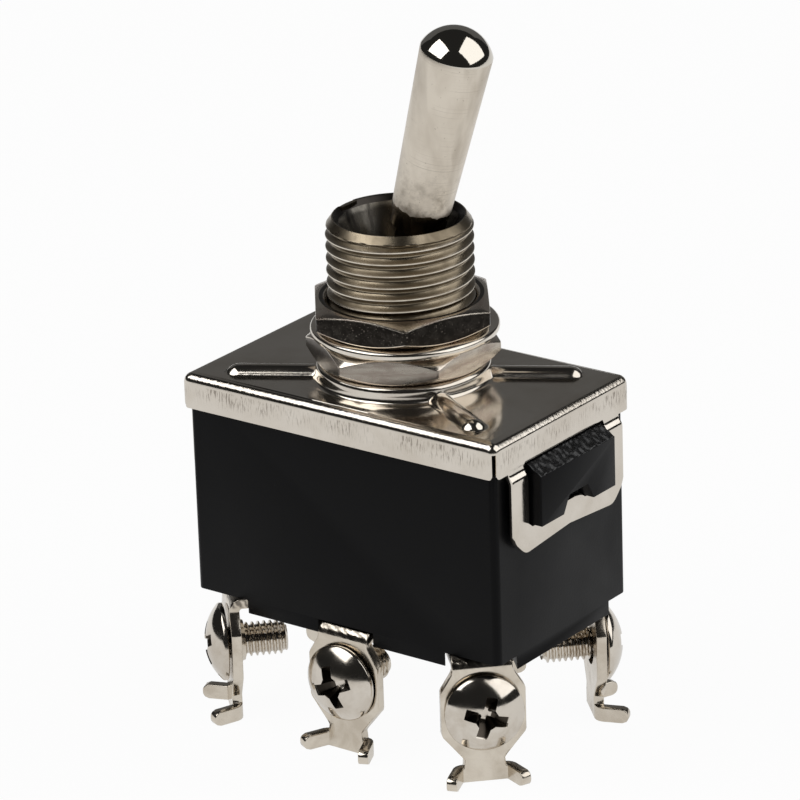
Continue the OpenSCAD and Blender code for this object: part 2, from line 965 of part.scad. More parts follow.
// A domed screw with a cross recess turned by spin
module terminal_screw(place, spin) {
    rise = head_h - head_edge;
    color(nickel)
        at_place(place)
            translate([0, -screw_gap, screw_z])
                rotate([90, 0, 0])
                    difference() {
                        union() {
                            cylinder(r = head_r, h = head_edge);
                            intersection() {
                                translate([0, 0, head_h - cap_r(head_r, rise)])
                                    sphere(cap_r(head_r, rise));
                                cylinder(r = head_r, h = head_h + 1);
                            }
                            translate([0, 0, -screw_gap - plate_t - shank_behind])
                                cylinder(r = screw_r, h = screw_gap + plate_t + shank_behind + eps);
                        }
                        for (turn = [0, 90])
                            rotate([0, 0, spin + turn])
                                centred_box(cross_l, cross_w, head_h - cross_depth, head_h + 1);
                    }
}

corner_run = (corner_y - pole_y) * sqrt(2);
middle_run = middle_y - pole_y;

case();
insulator();
cover();
bushing();
nut(lower_nut_z, lower_nut_turn);  // lower_nut
washer();
nut(upper_nut_z, upper_nut_turn);  // upper_nut
lever();
lever_pin();
actuator();
plunger(-1);  // plunger_front
plunger(1);  // plunger_back
spring(-1);  // spring_front
spring(1);  // spring_back
rocker(-1);  // rocker_front
rocker(1);  // rocker_back
fulcrum(-1);  // fulcrum_front
fulcrum(1);  // fulcrum_back
moving_contact(-1, -1);  // moving_contact_front_left
moving_contact(-1, 1);  // moving_contact_front_right
moving_contact(1, -1);  // moving_contact_back_left
moving_contact(1, 1);  // moving_contact_back_right
fixed_contact(-1, -1);  // fixed_contact_front_left
fixed_contact(-1, 1);  // fixed_contact_front_right
fixed_contact(1, -1);  // fixed_contact_back_left
fixed_contact(1, 1);  // fixed_contact_back_right
common_rivet(-1);  // common_rivet_front
common_rivet(1);  // common_rivet_back
terminal(at_front_left, corner_run);  // terminal_front_left
terminal(at_front_middle, middle_run);  // terminal_front_middle
terminal(at_front_right, corner_run);  // terminal_front_right
terminal(at_back_left, corner_run);  // terminal_back_left
terminal(at_back_middle, middle_run);  // terminal_back_middle
terminal(at_back_right, corner_run);  // terminal_back_right
terminal_screw(at_front_left, spin_front_left);  // screw_front_left
terminal_screw(at_front_middle, spin_front_middle);  // screw_front_middle
terminal_screw(at_front_right, spin_front_right);  // screw_front_right
terminal_screw(at_back_left, spin_back_left);  // screw_back_left
terminal_screw(at_back_middle, spin_back_middle);  // screw_back_middle
terminal_screw(at_back_right, spin_back_right);  // screw_back_right
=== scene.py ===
# %% [markdown]
# # A panel toggle switch
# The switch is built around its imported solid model. The solids give every place and size, and this file adds
# what a maker would see from close by: turned threads, pressed sheet, sheared edges, cross recesses and worn
# plating. Everything is in metres, in the frame of the solids, so a piece drawn in its place needs no fitting.

# %% The frame of solids
import bmesh
import bpy
import json
from math import asin, atan2, ceil, cos, hypot, pi, radians, sin, sqrt
from mathutils import Matrix, Vector
from mathutils.noise import noise as roughness_at

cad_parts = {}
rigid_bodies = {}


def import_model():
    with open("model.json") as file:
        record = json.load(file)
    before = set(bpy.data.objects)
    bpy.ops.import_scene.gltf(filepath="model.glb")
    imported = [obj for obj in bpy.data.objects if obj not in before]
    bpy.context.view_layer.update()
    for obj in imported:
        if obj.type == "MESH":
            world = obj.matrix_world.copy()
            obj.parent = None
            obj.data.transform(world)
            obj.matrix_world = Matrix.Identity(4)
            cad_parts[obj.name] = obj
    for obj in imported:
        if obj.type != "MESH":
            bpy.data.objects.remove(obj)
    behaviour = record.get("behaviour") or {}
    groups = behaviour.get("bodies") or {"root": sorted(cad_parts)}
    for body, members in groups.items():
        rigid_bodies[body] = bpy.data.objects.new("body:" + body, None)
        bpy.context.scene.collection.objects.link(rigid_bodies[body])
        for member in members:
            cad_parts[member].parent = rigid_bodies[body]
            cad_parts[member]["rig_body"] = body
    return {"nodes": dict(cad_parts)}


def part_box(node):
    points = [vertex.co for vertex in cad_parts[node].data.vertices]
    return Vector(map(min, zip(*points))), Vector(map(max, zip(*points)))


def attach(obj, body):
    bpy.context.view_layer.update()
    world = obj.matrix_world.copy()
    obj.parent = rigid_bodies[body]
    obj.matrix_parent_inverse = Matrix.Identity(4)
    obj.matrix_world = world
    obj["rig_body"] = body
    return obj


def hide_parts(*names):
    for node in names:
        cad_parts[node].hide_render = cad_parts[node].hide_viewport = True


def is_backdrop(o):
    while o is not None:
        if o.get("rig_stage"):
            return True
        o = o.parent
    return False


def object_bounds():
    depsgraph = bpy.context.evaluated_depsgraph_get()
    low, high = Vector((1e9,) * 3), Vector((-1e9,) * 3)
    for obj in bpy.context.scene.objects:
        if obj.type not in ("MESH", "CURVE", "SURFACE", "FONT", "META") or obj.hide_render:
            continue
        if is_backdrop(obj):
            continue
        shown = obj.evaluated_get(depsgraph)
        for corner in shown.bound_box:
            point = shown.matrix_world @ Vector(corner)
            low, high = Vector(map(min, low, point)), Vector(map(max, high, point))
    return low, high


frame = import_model()
solid_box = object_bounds()
MM = 0.001
print("nodes:", len(frame["nodes"]), "box in mm:", [[round(v / MM, 2) for v in c] for c in solid_box])

# %% Levels read from the solids, in millimetres
def levels(node):
    low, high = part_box(node)
    return low.z / MM, high.z / MM

case_end_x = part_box("case")[1].x / MM
case_bottom, case_top = levels("case")
boss_top = levels("cover")[1]
upper_nut_top = levels("upper_nut")[1]
rim_z = levels("bushing")[1]
pin_low, pin_high = levels("lever_pin")
pivot_z = (pin_low + pin_high) / 2
SHEET = 0.4
plate_z = case_top + SHEET
STRIP_SUNK = 1.15
STRIP_TOP = case_bottom + STRIP_SUNK
print("case top", case_top, "boss top", boss_top, "rim", rim_z, "pivot", pivot_z)

# %% [markdown]
# ## Camera
# A product picture is taken from a little above and from far away with a long lens, so that the box keeps its
# lines nearly parallel. The camera is placed by its own three directions rather than by aiming it at the part,
# because it is also rolled very slightly.

# %% Camera
AZIMUTH, ELEVATION, ROLL = radians(36.884), radians(21.088), radians(-1.903)
EYE, LONG_LENS = (0.236198, -0.315445, 0.179558), 233.622
forward = Vector((-sin(AZIMUTH) * cos(ELEVATION), cos(AZIMUTH) * cos(ELEVATION), -sin(ELEVATION)))
level = Vector((cos(AZIMUTH), sin(AZIMUTH), 0))
upright = level.cross(forward)
right = level * cos(ROLL) + upright * sin(ROLL)
up = upright * cos(ROLL) - level * sin(ROLL)
lens = bpy.data.cameras.new("camera")
lens.sensor_width = 36
lens.lens = LONG_LENS
lens.clip_start, lens.clip_end = 0.01, 50
camera = bpy.data.objects.new("camera", lens)
camera.matrix_world = Matrix((
    (right.x, up.x, -forward.x, EYE[0]),
    (right.y, up.y, -forward.y, EYE[1]),
    (right.z, up.z, -forward.z, EYE[2]),
    (0, 0, 0, 1)))
bpy.context.scene.collection.objects.link(camera)
bpy.context.scene.camera = camera
bpy.context.scene.view_settings.view_transform = "Standard"
print("lens", round(lens.lens, 1), "mm")

# %% [markdown]
# ## Small tools
# Nearly every piece here is a skin over a stack of rings: a turned part, a thread, a tongue or a bent strip.
# One function joins such a stack into a closed mesh. Another collects the finished mesh, marks the edges that
# should look sharp, and lets it move with the right body.

# %% Node helper
def add(tree, kind, inputs=None, **settings):
    made = tree.nodes.new(kind)
    for key, value in settings.items():
        setattr(made, key, value)
    for key, value in (inputs or {}).items():
        if isinstance(value, bpy.types.NodeSocket):
            tree.links.new(value, made.inputs[key])
        else:
            made.inputs[key].default_value = value
    return made

# %% Mesh helpers
def stack(rings, caps=True):
    """Joins rings of equal length into verts and faces. A ring of one point closes to a tip."""
    verts, starts = [], []
    for ring in rings:
        starts.append(len(verts))
        verts.extend(ring)
    faces = []
    n = max(len(r) for r in rings)
    for i, (a, b) in enumerate(zip(rings, rings[1:])):
        for k in range(n):
            m = (k + 1) % n
            if len(a) == 1:
                faces.append((starts[i], starts[i + 1] + m, starts[i + 1] + k))
            elif len(b) == 1:
                faces.append((starts[i] + k, starts[i] + m, starts[i + 1]))
            else:
                faces.append((starts[i] + k, starts[i] + m, starts[i + 1] + m, starts[i + 1] + k))
    if caps and len(rings[0]) > 1:
        faces.append(tuple(range(n))[::-1])
    if caps and len(rings[-1]) > 1:
        faces.append(tuple(starts[-1] + k for k in range(n)))
    return verts, faces

def turned(profile, count=128, radius=None):
    """Rings about Z from (radius, height) pairs; radius(height, angle, r) may vary the radius."""
    rings = []
    for r, z in profile:
        if r < 1e-6:
            rings.append([(0, 0, z)])
            continue
        ring = []
        for k in range(count):
            a = 2 * pi * k / count
            q = radius(z, a, r) if radius else r
            ring.append((q * cos(a), q * sin(a), z))
        rings.append(ring)
    return rings

def samples(low, high, step):
    n = max(1, ceil((high - low) / step))
    return [low + (high - low) * i / n for i in range(n + 1)]

def smooth(t):
    t = min(max(t, 0.0), 1.0)
    return t * t * (3 - 2 * t)

SAME_PLACE = 1e-7

def tidy(mesh):
    bm = bmesh.new()
    bm.from_mesh(mesh)
    bmesh.ops.remove_doubles(bm, verts=bm.verts, dist=SAME_PLACE)
    bmesh.ops.recalc_face_normals(bm, faces=bm.faces)
    bm.to_mesh(mesh)
    bm.free()

def new_object(name, verts, faces, matrix=None):
    """An object whose vertices, given in millimetres, are already in their place."""
    mesh = bpy.data.meshes.new(name)
    place = Matrix.Diagonal((MM, MM, MM, 1)) @ (matrix or Matrix())
    mesh.from_pydata([place @ Vector(v) for v in verts], [], faces)
    tidy(mesh)
    made = bpy.data.objects.new(name, mesh)
    bpy.context.scene.collection.objects.link(made)
    return made

def modifier(piece, kind, **settings):
    made = piece.modifiers.new(kind.lower(), kind)
    for key, value in settings.items():
        setattr(made, key, value)
    return made

def settle(piece):
    """Turns the modifiers into plain mesh."""
    bpy.context.view_layer.update()
    graph = bpy.context.evaluated_depsgraph_get()
    mesh = bpy.data.meshes.new_from_object(piece.evaluated_get(graph))
    piece.modifiers.clear()
    piece.data = mesh
    return piece

def soften(piece, width, segments=2, angle=30):
    """Rounds the edges by width millimetres, as tooling leaves them."""
    modifier(piece, "BEVEL", width=width * MM, segments=segments, limit_method="ANGLE",
             angle_limit=radians(angle), harden_normals=False, use_clamp_overlap=True)
    return settle(piece)

def mark(piece, name, rule, domain="POINT"):
    """Stores one number for each vertex or face, so that a finish can tell the regions of a piece apart."""
    layer = piece.data.attributes.new(name, "FLOAT", domain)
    if domain == "POINT":
        values = [rule(v.co / MM, v.normal) for v in piece.data.vertices]
    else:
        values = [rule(f.center / MM, f.normal) for f in piece.data.polygons]
    layer.data.foreach_set("value", values)

def finish_piece(piece, node, material, sharp=40):
    """Smooth shading with sharp edges, then the piece takes the node's place and rides its body."""
    mesh = piece.data
    mesh.materials.clear()
    mesh.materials.append(material)
    for polygon in mesh.polygons:
        polygon.material_index = 0
        polygon.use_smooth = True
    mesh.set_sharp_from_angle(angle=radians(sharp))
    body = frame["nodes"][node]["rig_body"]
    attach(piece, body)
    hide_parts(node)
    low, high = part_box(node)
    mine = [[f(v.co[i] for v in mesh.vertices) / MM for i in range(3)] for f in (min, max)]
    off = max(max(abs(mine[0][i] - low[i] / MM), abs(mine[1][i] - high[i] / MM)) for i in range(3))
    print(f"{piece.name}: {len(mesh.polygons)} faces, box differs from its solid by {off:.2f} mm")

# %% [markdown]
# ## Shader groups
# Plated metal, whatever its colour, shows the same few things from near: soft clouds where the plating is
# thicker, fine grain from the metal below, and a drift of stain. One group makes them, and each finish sets
# its own colours and sizes. A second group gives hard, stretched marks for scuffs, and a third the skin of a
# moulding.

# %% Group: plating
def new_group(name, ins, outs):
    tree = bpy.data.node_groups.new(name, "ShaderNodeTree")
    for label, kind, value in ins:
        made = tree.interface.new_socket(name=label, in_out="INPUT", socket_type=kind)
        made.default_value = value
    for label, kind in outs:
        tree.interface.new_socket(name=label, in_out="OUTPUT", socket_type=kind)
    return tree, tree.nodes.new("NodeGroupInput"), tree.nodes.new("NodeGroupOutput")

FLOAT, COLOR, VECTOR = "NodeSocketFloat", "NodeSocketColor", "NodeSocketVector"

def math_node(tree, operation, a, b=0.0, clamp=False):
    made = add(tree, "ShaderNodeMath", {0: a, 1: b}, operation=operation, use_clamp=clamp)
    return made.outputs[0]

def times(tree, a, b, clamp=False):
    return math_node(tree, "MULTIPLY", a, b, clamp)

def larger(tree, a, b, clamp=False):
    return math_node(tree, "MAXIMUM", a, b, clamp)

def scaled(tree, vector, by):
    return add(tree, "ShaderNodeVectorMath", {0: vector, 1: by}, operation="MULTIPLY").outputs[0]

def blend(tree, fac, a, b):
    return add(tree, "ShaderNodeMix", {0: fac, 2: a, 3: b}).outputs[0]

def span(tree, value, low, high, to_low=0.0, to_high=1.0):
    made = add(tree, "ShaderNodeMapRange", {"Value": value, "From Min": low, "From Max": high,
                                            "To Min": to_low, "To Max": to_high})
    return made.outputs["Result"]

def noise(tree, vector, scale, detail=3.0, rough=0.5, warp=0.0):
    made = add(tree, "ShaderNodeTexNoise", {"Vector": vector, "Scale": scale, "Detail": detail,
                                            "Roughness": rough, "Distortion": warp})
    return made.outputs["Fac"]

def mixed(tree, fac, a, b):
    made = add(tree, "ShaderNodeMix", {0: fac, 6: a, 7: b}, data_type="RGBA")
    return made.outputs[2]

plating, gi, go = new_group("plating", [
    ("Clean", COLOR, (0.7, 0.66, 0.6, 1)), ("Stained", COLOR, (0.5, 0.45, 0.38, 1)),
    ("Stain", FLOAT, 0.4), ("Cloud size", FLOAT, 250.0), ("Polish", FLOAT, 0.2), ("Dull", FLOAT, 0.4),
    ("Stretch", VECTOR, (1.0, 1.0, 1.0))],
    [("Color", COLOR), ("Roughness", FLOAT), ("Height", FLOAT)])
where = add(plating, "ShaderNodeTexCoord").outputs["Object"]
stretched = scaled(plating, where, gi.outputs["Stretch"])
clouds = noise(plating, stretched, gi.outputs["Cloud size"], 4.0, 0.6, 0.3)
fine = noise(plating, stretched, 5200.0, 2.0, 0.6)
specks = noise(plating, where, 2300.0, 3.0, 0.7)
stain = times(plating, span(plating, clouds, 0.42, 0.68), gi.outputs["Stain"], True)
speck = times(plating, span(plating, specks, 0.66, 0.74), 0.6, True)
marks = larger(plating, stain, times(plating, speck, gi.outputs["Stain"]))
plating.links.new(mixed(plating, marks, gi.outputs["Clean"], gi.outputs["Stained"]), go.inputs["Color"])
gloss = blend(plating, span(plating, clouds, 0.35, 0.7), gi.outputs["Polish"], gi.outputs["Dull"])
plating.links.new(gloss, go.inputs["Roughness"])
plating.links.new(math_node(plating, "ADD", fine, times(plating, specks, 0.7)), go.inputs["Height"])
print("group:", plating.name)

# %% Group: scuffs, short marks stretched along one direction
scuffs, gi, go = new_group("scuffs", [
    ("Stretch", VECTOR, (1.0, 1.0, 0.1)), ("Size", FLOAT, 2500.0), ("Amount", FLOAT, 0.5)],
    [("Mask", FLOAT)])
where = add(scuffs, "ShaderNodeTexCoord").outputs["Object"]
stretched = scaled(scuffs, where, gi.outputs["Stretch"])
lines = noise(scuffs, stretched, gi.outputs["Size"], 2.0, 0.6)
patch = noise(scuffs, where, 260.0, 2.0, 0.6)
limit = span(scuffs, gi.outputs["Amount"], 0.0, 1.0, 0.9, 0.35)
hard = times(scuffs, math_node(scuffs, "SUBTRACT", lines, limit), 9.0, True)
scuffs.links.new(times(scuffs, hard, span(scuffs, patch, 0.38, 0.6), True), go.inputs["Mask"])
print("group:", scuffs.name)

# %% Group: moulded skin
moulded, gi, go = new_group("moulded skin", [
    ("Body", COLOR, (0.02, 0.02, 0.02, 1)), ("Bloom", COLOR, (0.05, 0.05, 0.055, 1)),
    ("Polish", FLOAT, 0.35), ("Dull", FLOAT, 0.5)],
    [("Color", COLOR), ("Roughness", FLOAT), ("Height", FLOAT)])
where = add(moulded, "ShaderNodeTexCoord").outputs["Object"]
broad = noise(moulded, where, 120.0, 3.0, 0.55)
grain = noise(moulded, where, 4200.0, 2.0, 0.5)
dust = noise(moulded, where, 1500.0, 4.0, 0.8)
spots = span(moulded, dust, 0.68, 0.75)
dusted = times(moulded, spots, 0.5, True)
moulded.links.new(mixed(moulded, dusted, gi.outputs["Body"], gi.outputs["Bloom"]), go.inputs["Color"])
skin = blend(moulded, span(moulded, broad, 0.35, 0.65), gi.outputs["Polish"], gi.outputs["Dull"])
moulded.links.new(skin, go.inputs["Roughness"])
moulded.links.new(grain, go.inputs["Height"])
print("group:", moulded.name)

# %% Material builders
GRAIN_DEPTH = 0.00005

def new_material(name):
    material = bpy.data.materials.new(name)
    material.use_nodes = True
    tree = material.node_tree
    return material, tree, tree.nodes["Principled BSDF"]

def use_group(tree, group, **inputs):
    made = tree.nodes.new("ShaderNodeGroup")
    made.node_tree = group
    for key, value in inputs.items():
        socket = made.inputs[key.replace("_", " ")]
        if isinstance(value, bpy.types.NodeSocket):
            tree.links.new(value, socket)
        else:
            socket.default_value = value
    return made

def rgb(r, g, b):
    return (r, g, b, 1.0)

def coat(tree, clean, stained, stain, cloud, polish, dull, stretch=(1, 1, 1)):
    return use_group(tree, plating, Clean=rgb(*clean), Stained=rgb(*stained), Stain=stain, Cloud_size=cloud,
                     Polish=polish, Dull=dull, Stretch=stretch)

def fine_relief(tree, shader, height, bump):
    relief = add(tree, "ShaderNodeBump", {"Height": height, "Strength": bump, "Distance": GRAIN_DEPTH})
    tree.links.new(relief.outputs[0], shader.inputs["Normal"])

def metal(tree, shader, color, rough, height, bump):
    tree.links.new(color, shader.inputs["Base Color"])
    tree.links.new(rough, shader.inputs["Roughness"])
    fine_relief(tree, shader, height, bump)
    shader.inputs["Metallic"].default_value = 1.0

def plated(name, clean, stained, stain, cloud, polish, dull):
    material, tree, shader = new_material(name)
    made = coat(tree, clean, stained, stain, cloud, polish, dull)
    metal(tree, shader, made.outputs["Color"], made.outputs["Roughness"], made.outputs["Height"], 0.03)
    return material

def region(tree, name):
    return add(tree, "ShaderNodeAttribute", attribute_name=name).outputs["Fac"]

def two_coats(name, where, under, over, bump, flecks):
    """Two platings on one piece, mixed by the region's number and by flecks. On the nuts the number paints
    reflection.
    """
    material, tree, shader = new_material(name)
    low, high = coat(tree, **under), coat(tree, **over)
    left = region(tree, where)
    fleck = use_group(tree, scuffs, Stretch=(1.0, 1.0, 1.0), Size=6500.0, Amount=flecks)
    left = larger(tree, left, times(tree, fleck.outputs["Mask"], 0.5))
    color = mixed(tree, left, low.outputs["Color"], high.outputs["Color"])
    rough = blend(tree, left, low.outputs["Roughness"], high.outputs["Roughness"])
    metal(tree, shader, color, rough, high.outputs["Height"], bump)
    return material

def moulding(name, body, bloom, polish, dull, bump=0.1):
    material, tree, shader = new_material(name)
    skin = use_group(tree, moulded, Body=rgb(*body), Bloom=rgb(*bloom), Polish=polish, Dull=dull)
    tree.links.new(skin.outputs["Color"], shader.inputs["Base Color"])
    tree.links.new(skin.outputs["Roughness"], shader.inputs["Roughness"])
    fine_relief(tree, shader, skin.outputs["Height"], bump)
    return material

# %% [markdown]
# ## Finishes
# The bright parts are nickel over brass or steel. Nickel is warmer than chrome, and what changes from part to
# part is how smooth it is and how much it has browned: the lever is nearly white, the thread is dull and
# brown. Where one piece shows two finishes, a number stored on its mesh tells the material which is where.
# Some of these numbers paint light: painted reflection on the nut flats, a painted highlight on the thread's
# crests, and painted shade in the bushing's mouth, the screws' recesses and the terminals' top bends.

# %% Plain finishes
NICKEL, TARNISH = (0.72, 0.655, 0.565), (0.40, 0.33, 0.25)
washer_nickel = plated("washer nickel", (0.74, 0.69, 0.61), TARNISH, 0.3, 300.0, 0.1, 0.22)
ground_steel = plated("ground steel", (0.56, 0.56, 0.57), (0.3, 0.28, 0.26), 0.3, 400.0, 0.2, 0.35)
spring_steel = plated("spring steel", (0.45, 0.45, 0.47), (0.2, 0.19, 0.18), 0.3, 400.0, 0.25, 0.4)
rocker_copper = plated("rocker copper", (0.82, 0.45, 0.28), (0.45, 0.2, 0.12), 0.5, 300.0, 0.25, 0.4)
bracket_nickel = plated("bracket nickel", (0.66, 0.62, 0.55), TARNISH, 0.4, 300.0, 0.2, 0.35)
contact_silver = plated("contact silver", (0.86, 0.86, 0.86), (0.5, 0.48, 0.46), 0.4, 500.0, 0.15, 0.3)
board_grey = moulding("insulating board", (0.28, 0.26, 0.23), (0.4, 0.38, 0.35), 0.7, 0.85, 0.4)
resin_brown = moulding("brown resin", (0.22, 0.09, 0.04), (0.35, 0.18, 0.1), 0.35, 0.5)
nylon = moulding("natural nylon", (0.78, 0.75, 0.66), (0.85, 0.83, 0.76), 0.3, 0.45)

# %% Nut finish: painted reflection, near black flats between edges painted bright as a highlight
nut_nickel = two_coats(
    "nut nickel", "painted_reflection",
    dict(clean=(0.016, 0.014, 0.012), stained=(0.06, 0.053, 0.046), stain=0.5, cloud=1500.0,
         polish=0.3, dull=0.45),
    dict(clean=NICKEL, stained=(0.40, 0.30, 0.25), stain=0.7, cloud=380.0,
         polish=0.14, dull=0.3, stretch=(1, 1, 5)),
    0.06, 0.5)
print("nut finish:", nut_nickel.name)

# %% Bushing finish: brown tarnished roots deepened by painted shade, crests with a painted highlight, and a mouth darkened as painted shade
thread_nickel, tree, shader = new_material("thread nickel")
# Roots are brown tarnish made darker as painted shade under each crest; the crests are brighter nickel, a
# painted highlight along each crest line.
roots = coat(tree, (0.30, 0.25, 0.18), (0.13, 0.105, 0.07), 0.7, 420.0, 0.24, 0.4)
crests = coat(tree, (0.66, 0.60, 0.51), (0.38, 0.32, 0.24), 0.5, 600.0, 0.16, 0.3)
crest = region(tree, "crest")
color = mixed(tree, crest, roots.outputs["Color"], crests.outputs["Color"])
rough = blend(tree, crest, roots.outputs["Roughness"], crests.outputs["Roughness"])
# The bore's dark coat and the near black countersink are painted shade inside the mouth; only the lengthwise
# streaks are drawn marks.
drawn = coat(tree, (0.20, 0.185, 0.16), (0.03, 0.027, 0.024), 1.0, 700.0, 0.2, 0.34, (1, 1, 0.08))
bore = region(tree, "bore")
color = mixed(tree, bore, color, drawn.outputs["Color"])
color = mixed(tree, region(tree, "sink"), color, rgb(0.045, 0.04, 0.036))
rough = blend(tree, bore, rough, drawn.outputs["Roughness"])
metal(tree, shader, color, rough, roots.outputs["Height"], 0.06)

# %% Lever finish: satin bat with turning marks and handling stains, polished dome, browned neck
lever_nickel, tree, shader = new_material("lever nickel")
satin = coat(tree, (0.72, 0.655, 0.56), (0.56, 0.495, 0.41), 0.7, 330.0, 0.3, 0.42, (1, 1, 0.4))
along = region(tree, "along")
where = add(tree, "ShaderNodeTexCoord").outputs["Object"]
bands = add(tree, "ShaderNodeTexNoise", {"W": times(tree, along, 5.0), "Scale": 1.0, "Detail": 4.0,
                                         "Roughness": 0.8}, noise_dimensions="1D").outputs["Fac"]
rings = times(tree, span(tree, bands, 0.60, 0.66), span(tree, noise(tree, where, 260.0, 2.0), 0.44, 0.6), True)
cloudy = span(tree, noise(tree, where, 700.0, 4.0, 0.7), 0.45, 0.68)
smudge = times(tree, span(tree, along, 6.0, 0.3), cloudy, True)
pits = span(tree, noise(tree, where, 3400.0, 2.0, 0.6), 0.69, 0.745)
lengthwise = scaled(tree, where, (1.0, 1.0, 0.12))
streaks = span(tree, noise(tree, lengthwise, 420.0, 3.0, 0.6), 0.46, 0.64)
soot = larger(tree, times(tree, rings, 0.35), times(tree, smudge, 0.7))
soot = larger(tree, soot, times(tree, pits, 0.6, True), True)
soot = larger(tree, soot, times(tree, streaks, 0.22, True), True)
color = mixed(tree, soot, satin.outputs["Color"], rgb(0.12, 0.09, 0.06))
ragged = times(tree, noise(tree, where, 800.0, 3.0, 0.6), 0.9)
worn = span(tree, math_node(tree, "SUBTRACT", along, ragged), 0.1, 0.0)
color = mixed(tree, worn, color, mixed(tree, streaks, rgb(0.23, 0.175, 0.11), rgb(0.05, 0.038, 0.026)))
dome = region(tree, "dome")
color = mixed(tree, dome, color, rgb(0.66, 0.62, 0.55))
rough = blend(tree, dome, blend(tree, worn, satin.outputs["Roughness"], 0.2), 0.06)
metal(tree, shader, color, rough, satin.outputs["Height"], 0.04)

# %% Cover finish: satin sheet, wrinkled bends, draw marks down the flanges
def below_plate(depth):
    return (plate_z - depth) * MM

cover_nickel, tree, shader = new_material("cover nickel")
sheet = coat(tree, (0.69, 0.64, 0.57), (0.50, 0.44, 0.36), 0.45, 180.0, 0.09, 0.17)
where = add(tree, "ShaderNodeTexCoord").outputs["Object"]
height = add(tree, "ShaderNodeSeparateXYZ", {0: where}).outputs["Z"]
below_bend = span(tree, height, below_plate(0.75), below_plate(0.85))
on_flange = times(tree, span(tree, height, below_plate(2.4), below_plate(1.5)), below_bend, True)
drawn = use_group(tree, scuffs, Stretch=(1.0, 1.0, 0.16), Size=7000.0, Amount=0.70)
pitted = use_group(tree, scuffs, Stretch=(1.0, 1.0, 0.6), Size=5200.0, Amount=0.36)
marks = times(tree, drawn.outputs["Mask"], times(tree, on_flange, 0.6))
marks = larger(tree, marks, times(tree, pitted.outputs["Mask"], times(tree, below_bend, 0.7)), True)
color = mixed(tree, marks, sheet.outputs["Color"], rgb(0.14, 0.11, 0.085))
rough = blend(tree, marks, sheet.outputs["Roughness"], 0.5)
on_bend = times(tree, span(tree, height, below_plate(0.62), below_plate(0.45)),
                span(tree, height, below_plate(0.03), below_plate(0.1)), True)
wrinkle = times(tree, noise(tree, where, 3200.0, 3.0, 0.6), times(tree, on_bend, 22.0))
metal(tree, shader, color, rough, math_node(tree, "ADD", wrinkle, sheet.outputs["Height"]), 0.05)

# %% Terminal finish: bright strip, with banded painted shade across its top bend under the case, and grip dents in the bump
def below_strip(depth):
    return (STRIP_TOP - depth) * MM

terminal_nickel, tree, shader = new_material("terminal nickel")
strip = coat(tree, (0.68, 0.62, 0.53), TARNISH, 0.45, 380.0, 0.12, 0.26)
where = add(tree, "ShaderNodeTexCoord").outputs["Object"]
height = add(tree, "ShaderNodeSeparateXYZ", {0: where}).outputs["Z"]
# Painted shade: the band across the top bend, right under the case, is darkened in teeth-like bands; the same
# bands also dent the bump.
under_case_band = times(tree, span(tree, height, below_strip(0.85), below_strip(0.6)),
                span(tree, height, below_strip(0.02), below_strip(0.1)), True)
teeth = add(tree, "ShaderNodeTexWave", {"Vector": where, "Scale": 620.0, "Distortion": 6.0, "Detail": 2.0,
                                        "Detail Scale": 2.0}, wave_type="BANDS",
            bands_direction="DIAGONAL").outputs["Fac"]
dents_and_painted_shade = times(tree, teeth, under_case_band)
color = mixed(tree, times(tree, dents_and_painted_shade, 0.75), strip.outputs["Color"], rgb(0.05, 0.042, 0.035))
relief = math_node(tree, "ADD", strip.outputs["Height"], times(tree, dents_and_painted_shade, -6.0))
metal(tree, shader, color, strip.outputs["Roughness"], relief, 0.05)

# %% Screw finish: bright plating, with painted shade darkening the cross recess below its edge
screw_nickel, tree, shader = new_material("screw nickel")
bright = coat(tree, (0.66, 0.61, 0.54), TARNISH, 0.45, 420.0, 0.08, 0.2)
# Painted shade: the recess darkens with depth below the dome.
recess_shade = times(tree, span(tree, region(tree, "depth"), 0.05, 0.14), 0.94)
color = mixed(tree, recess_shade, bright.outputs["Color"], rgb(0.035, 0.026, 0.018))
rough = blend(tree, recess_shade, bright.outputs["Roughness"], 0.3)
metal(tree, shader, color, rough, bright.outputs["Height"], 0.03)

# %% Case finish: black moulding, crushed to a rough grain on the lugs' ramps
case_black, tree, shader = new_material("case black")
skin = use_group(tree, moulded, Body=rgb(0.0045, 0.0045, 0.005), Bloom=rgb(0.02, 0.02, 0.022),
                 Polish=0.3, Dull=0.42)
crushed = region(tree, "crushed")
where = add(tree, "ShaderNodeTexCoord").outputs["Object"]
chips = noise(tree, where, 3000.0, 4.0, 0.75)
bright = times(tree, crushed, span(tree, chips, 0.56, 0.66), True)
color = mixed(tree, bright, skin.outputs["Color"], rgb(0.075, 0.075, 0.078))
tree.links.new(color, shader.inputs["Base Color"])
tree.links.new(times(tree, crushed, 0.8), shader.inputs["Coat Weight"])
shader.inputs["Coat Roughness"].default_value = 0.25
tree.links.new(blend(tree, crushed, skin.outputs["Roughness"], 0.35), shader.inputs["Roughness"])
grain = math_node(tree, "ADD", skin.outputs["Height"], times(tree, chips, times(tree, crushed, 30.0)))
fine_relief(tree, shader, grain, 0.1)
shader.inputs["Specular IOR Level"].default_value = 0.08
print("finishes:", len(bpy.data.materials))

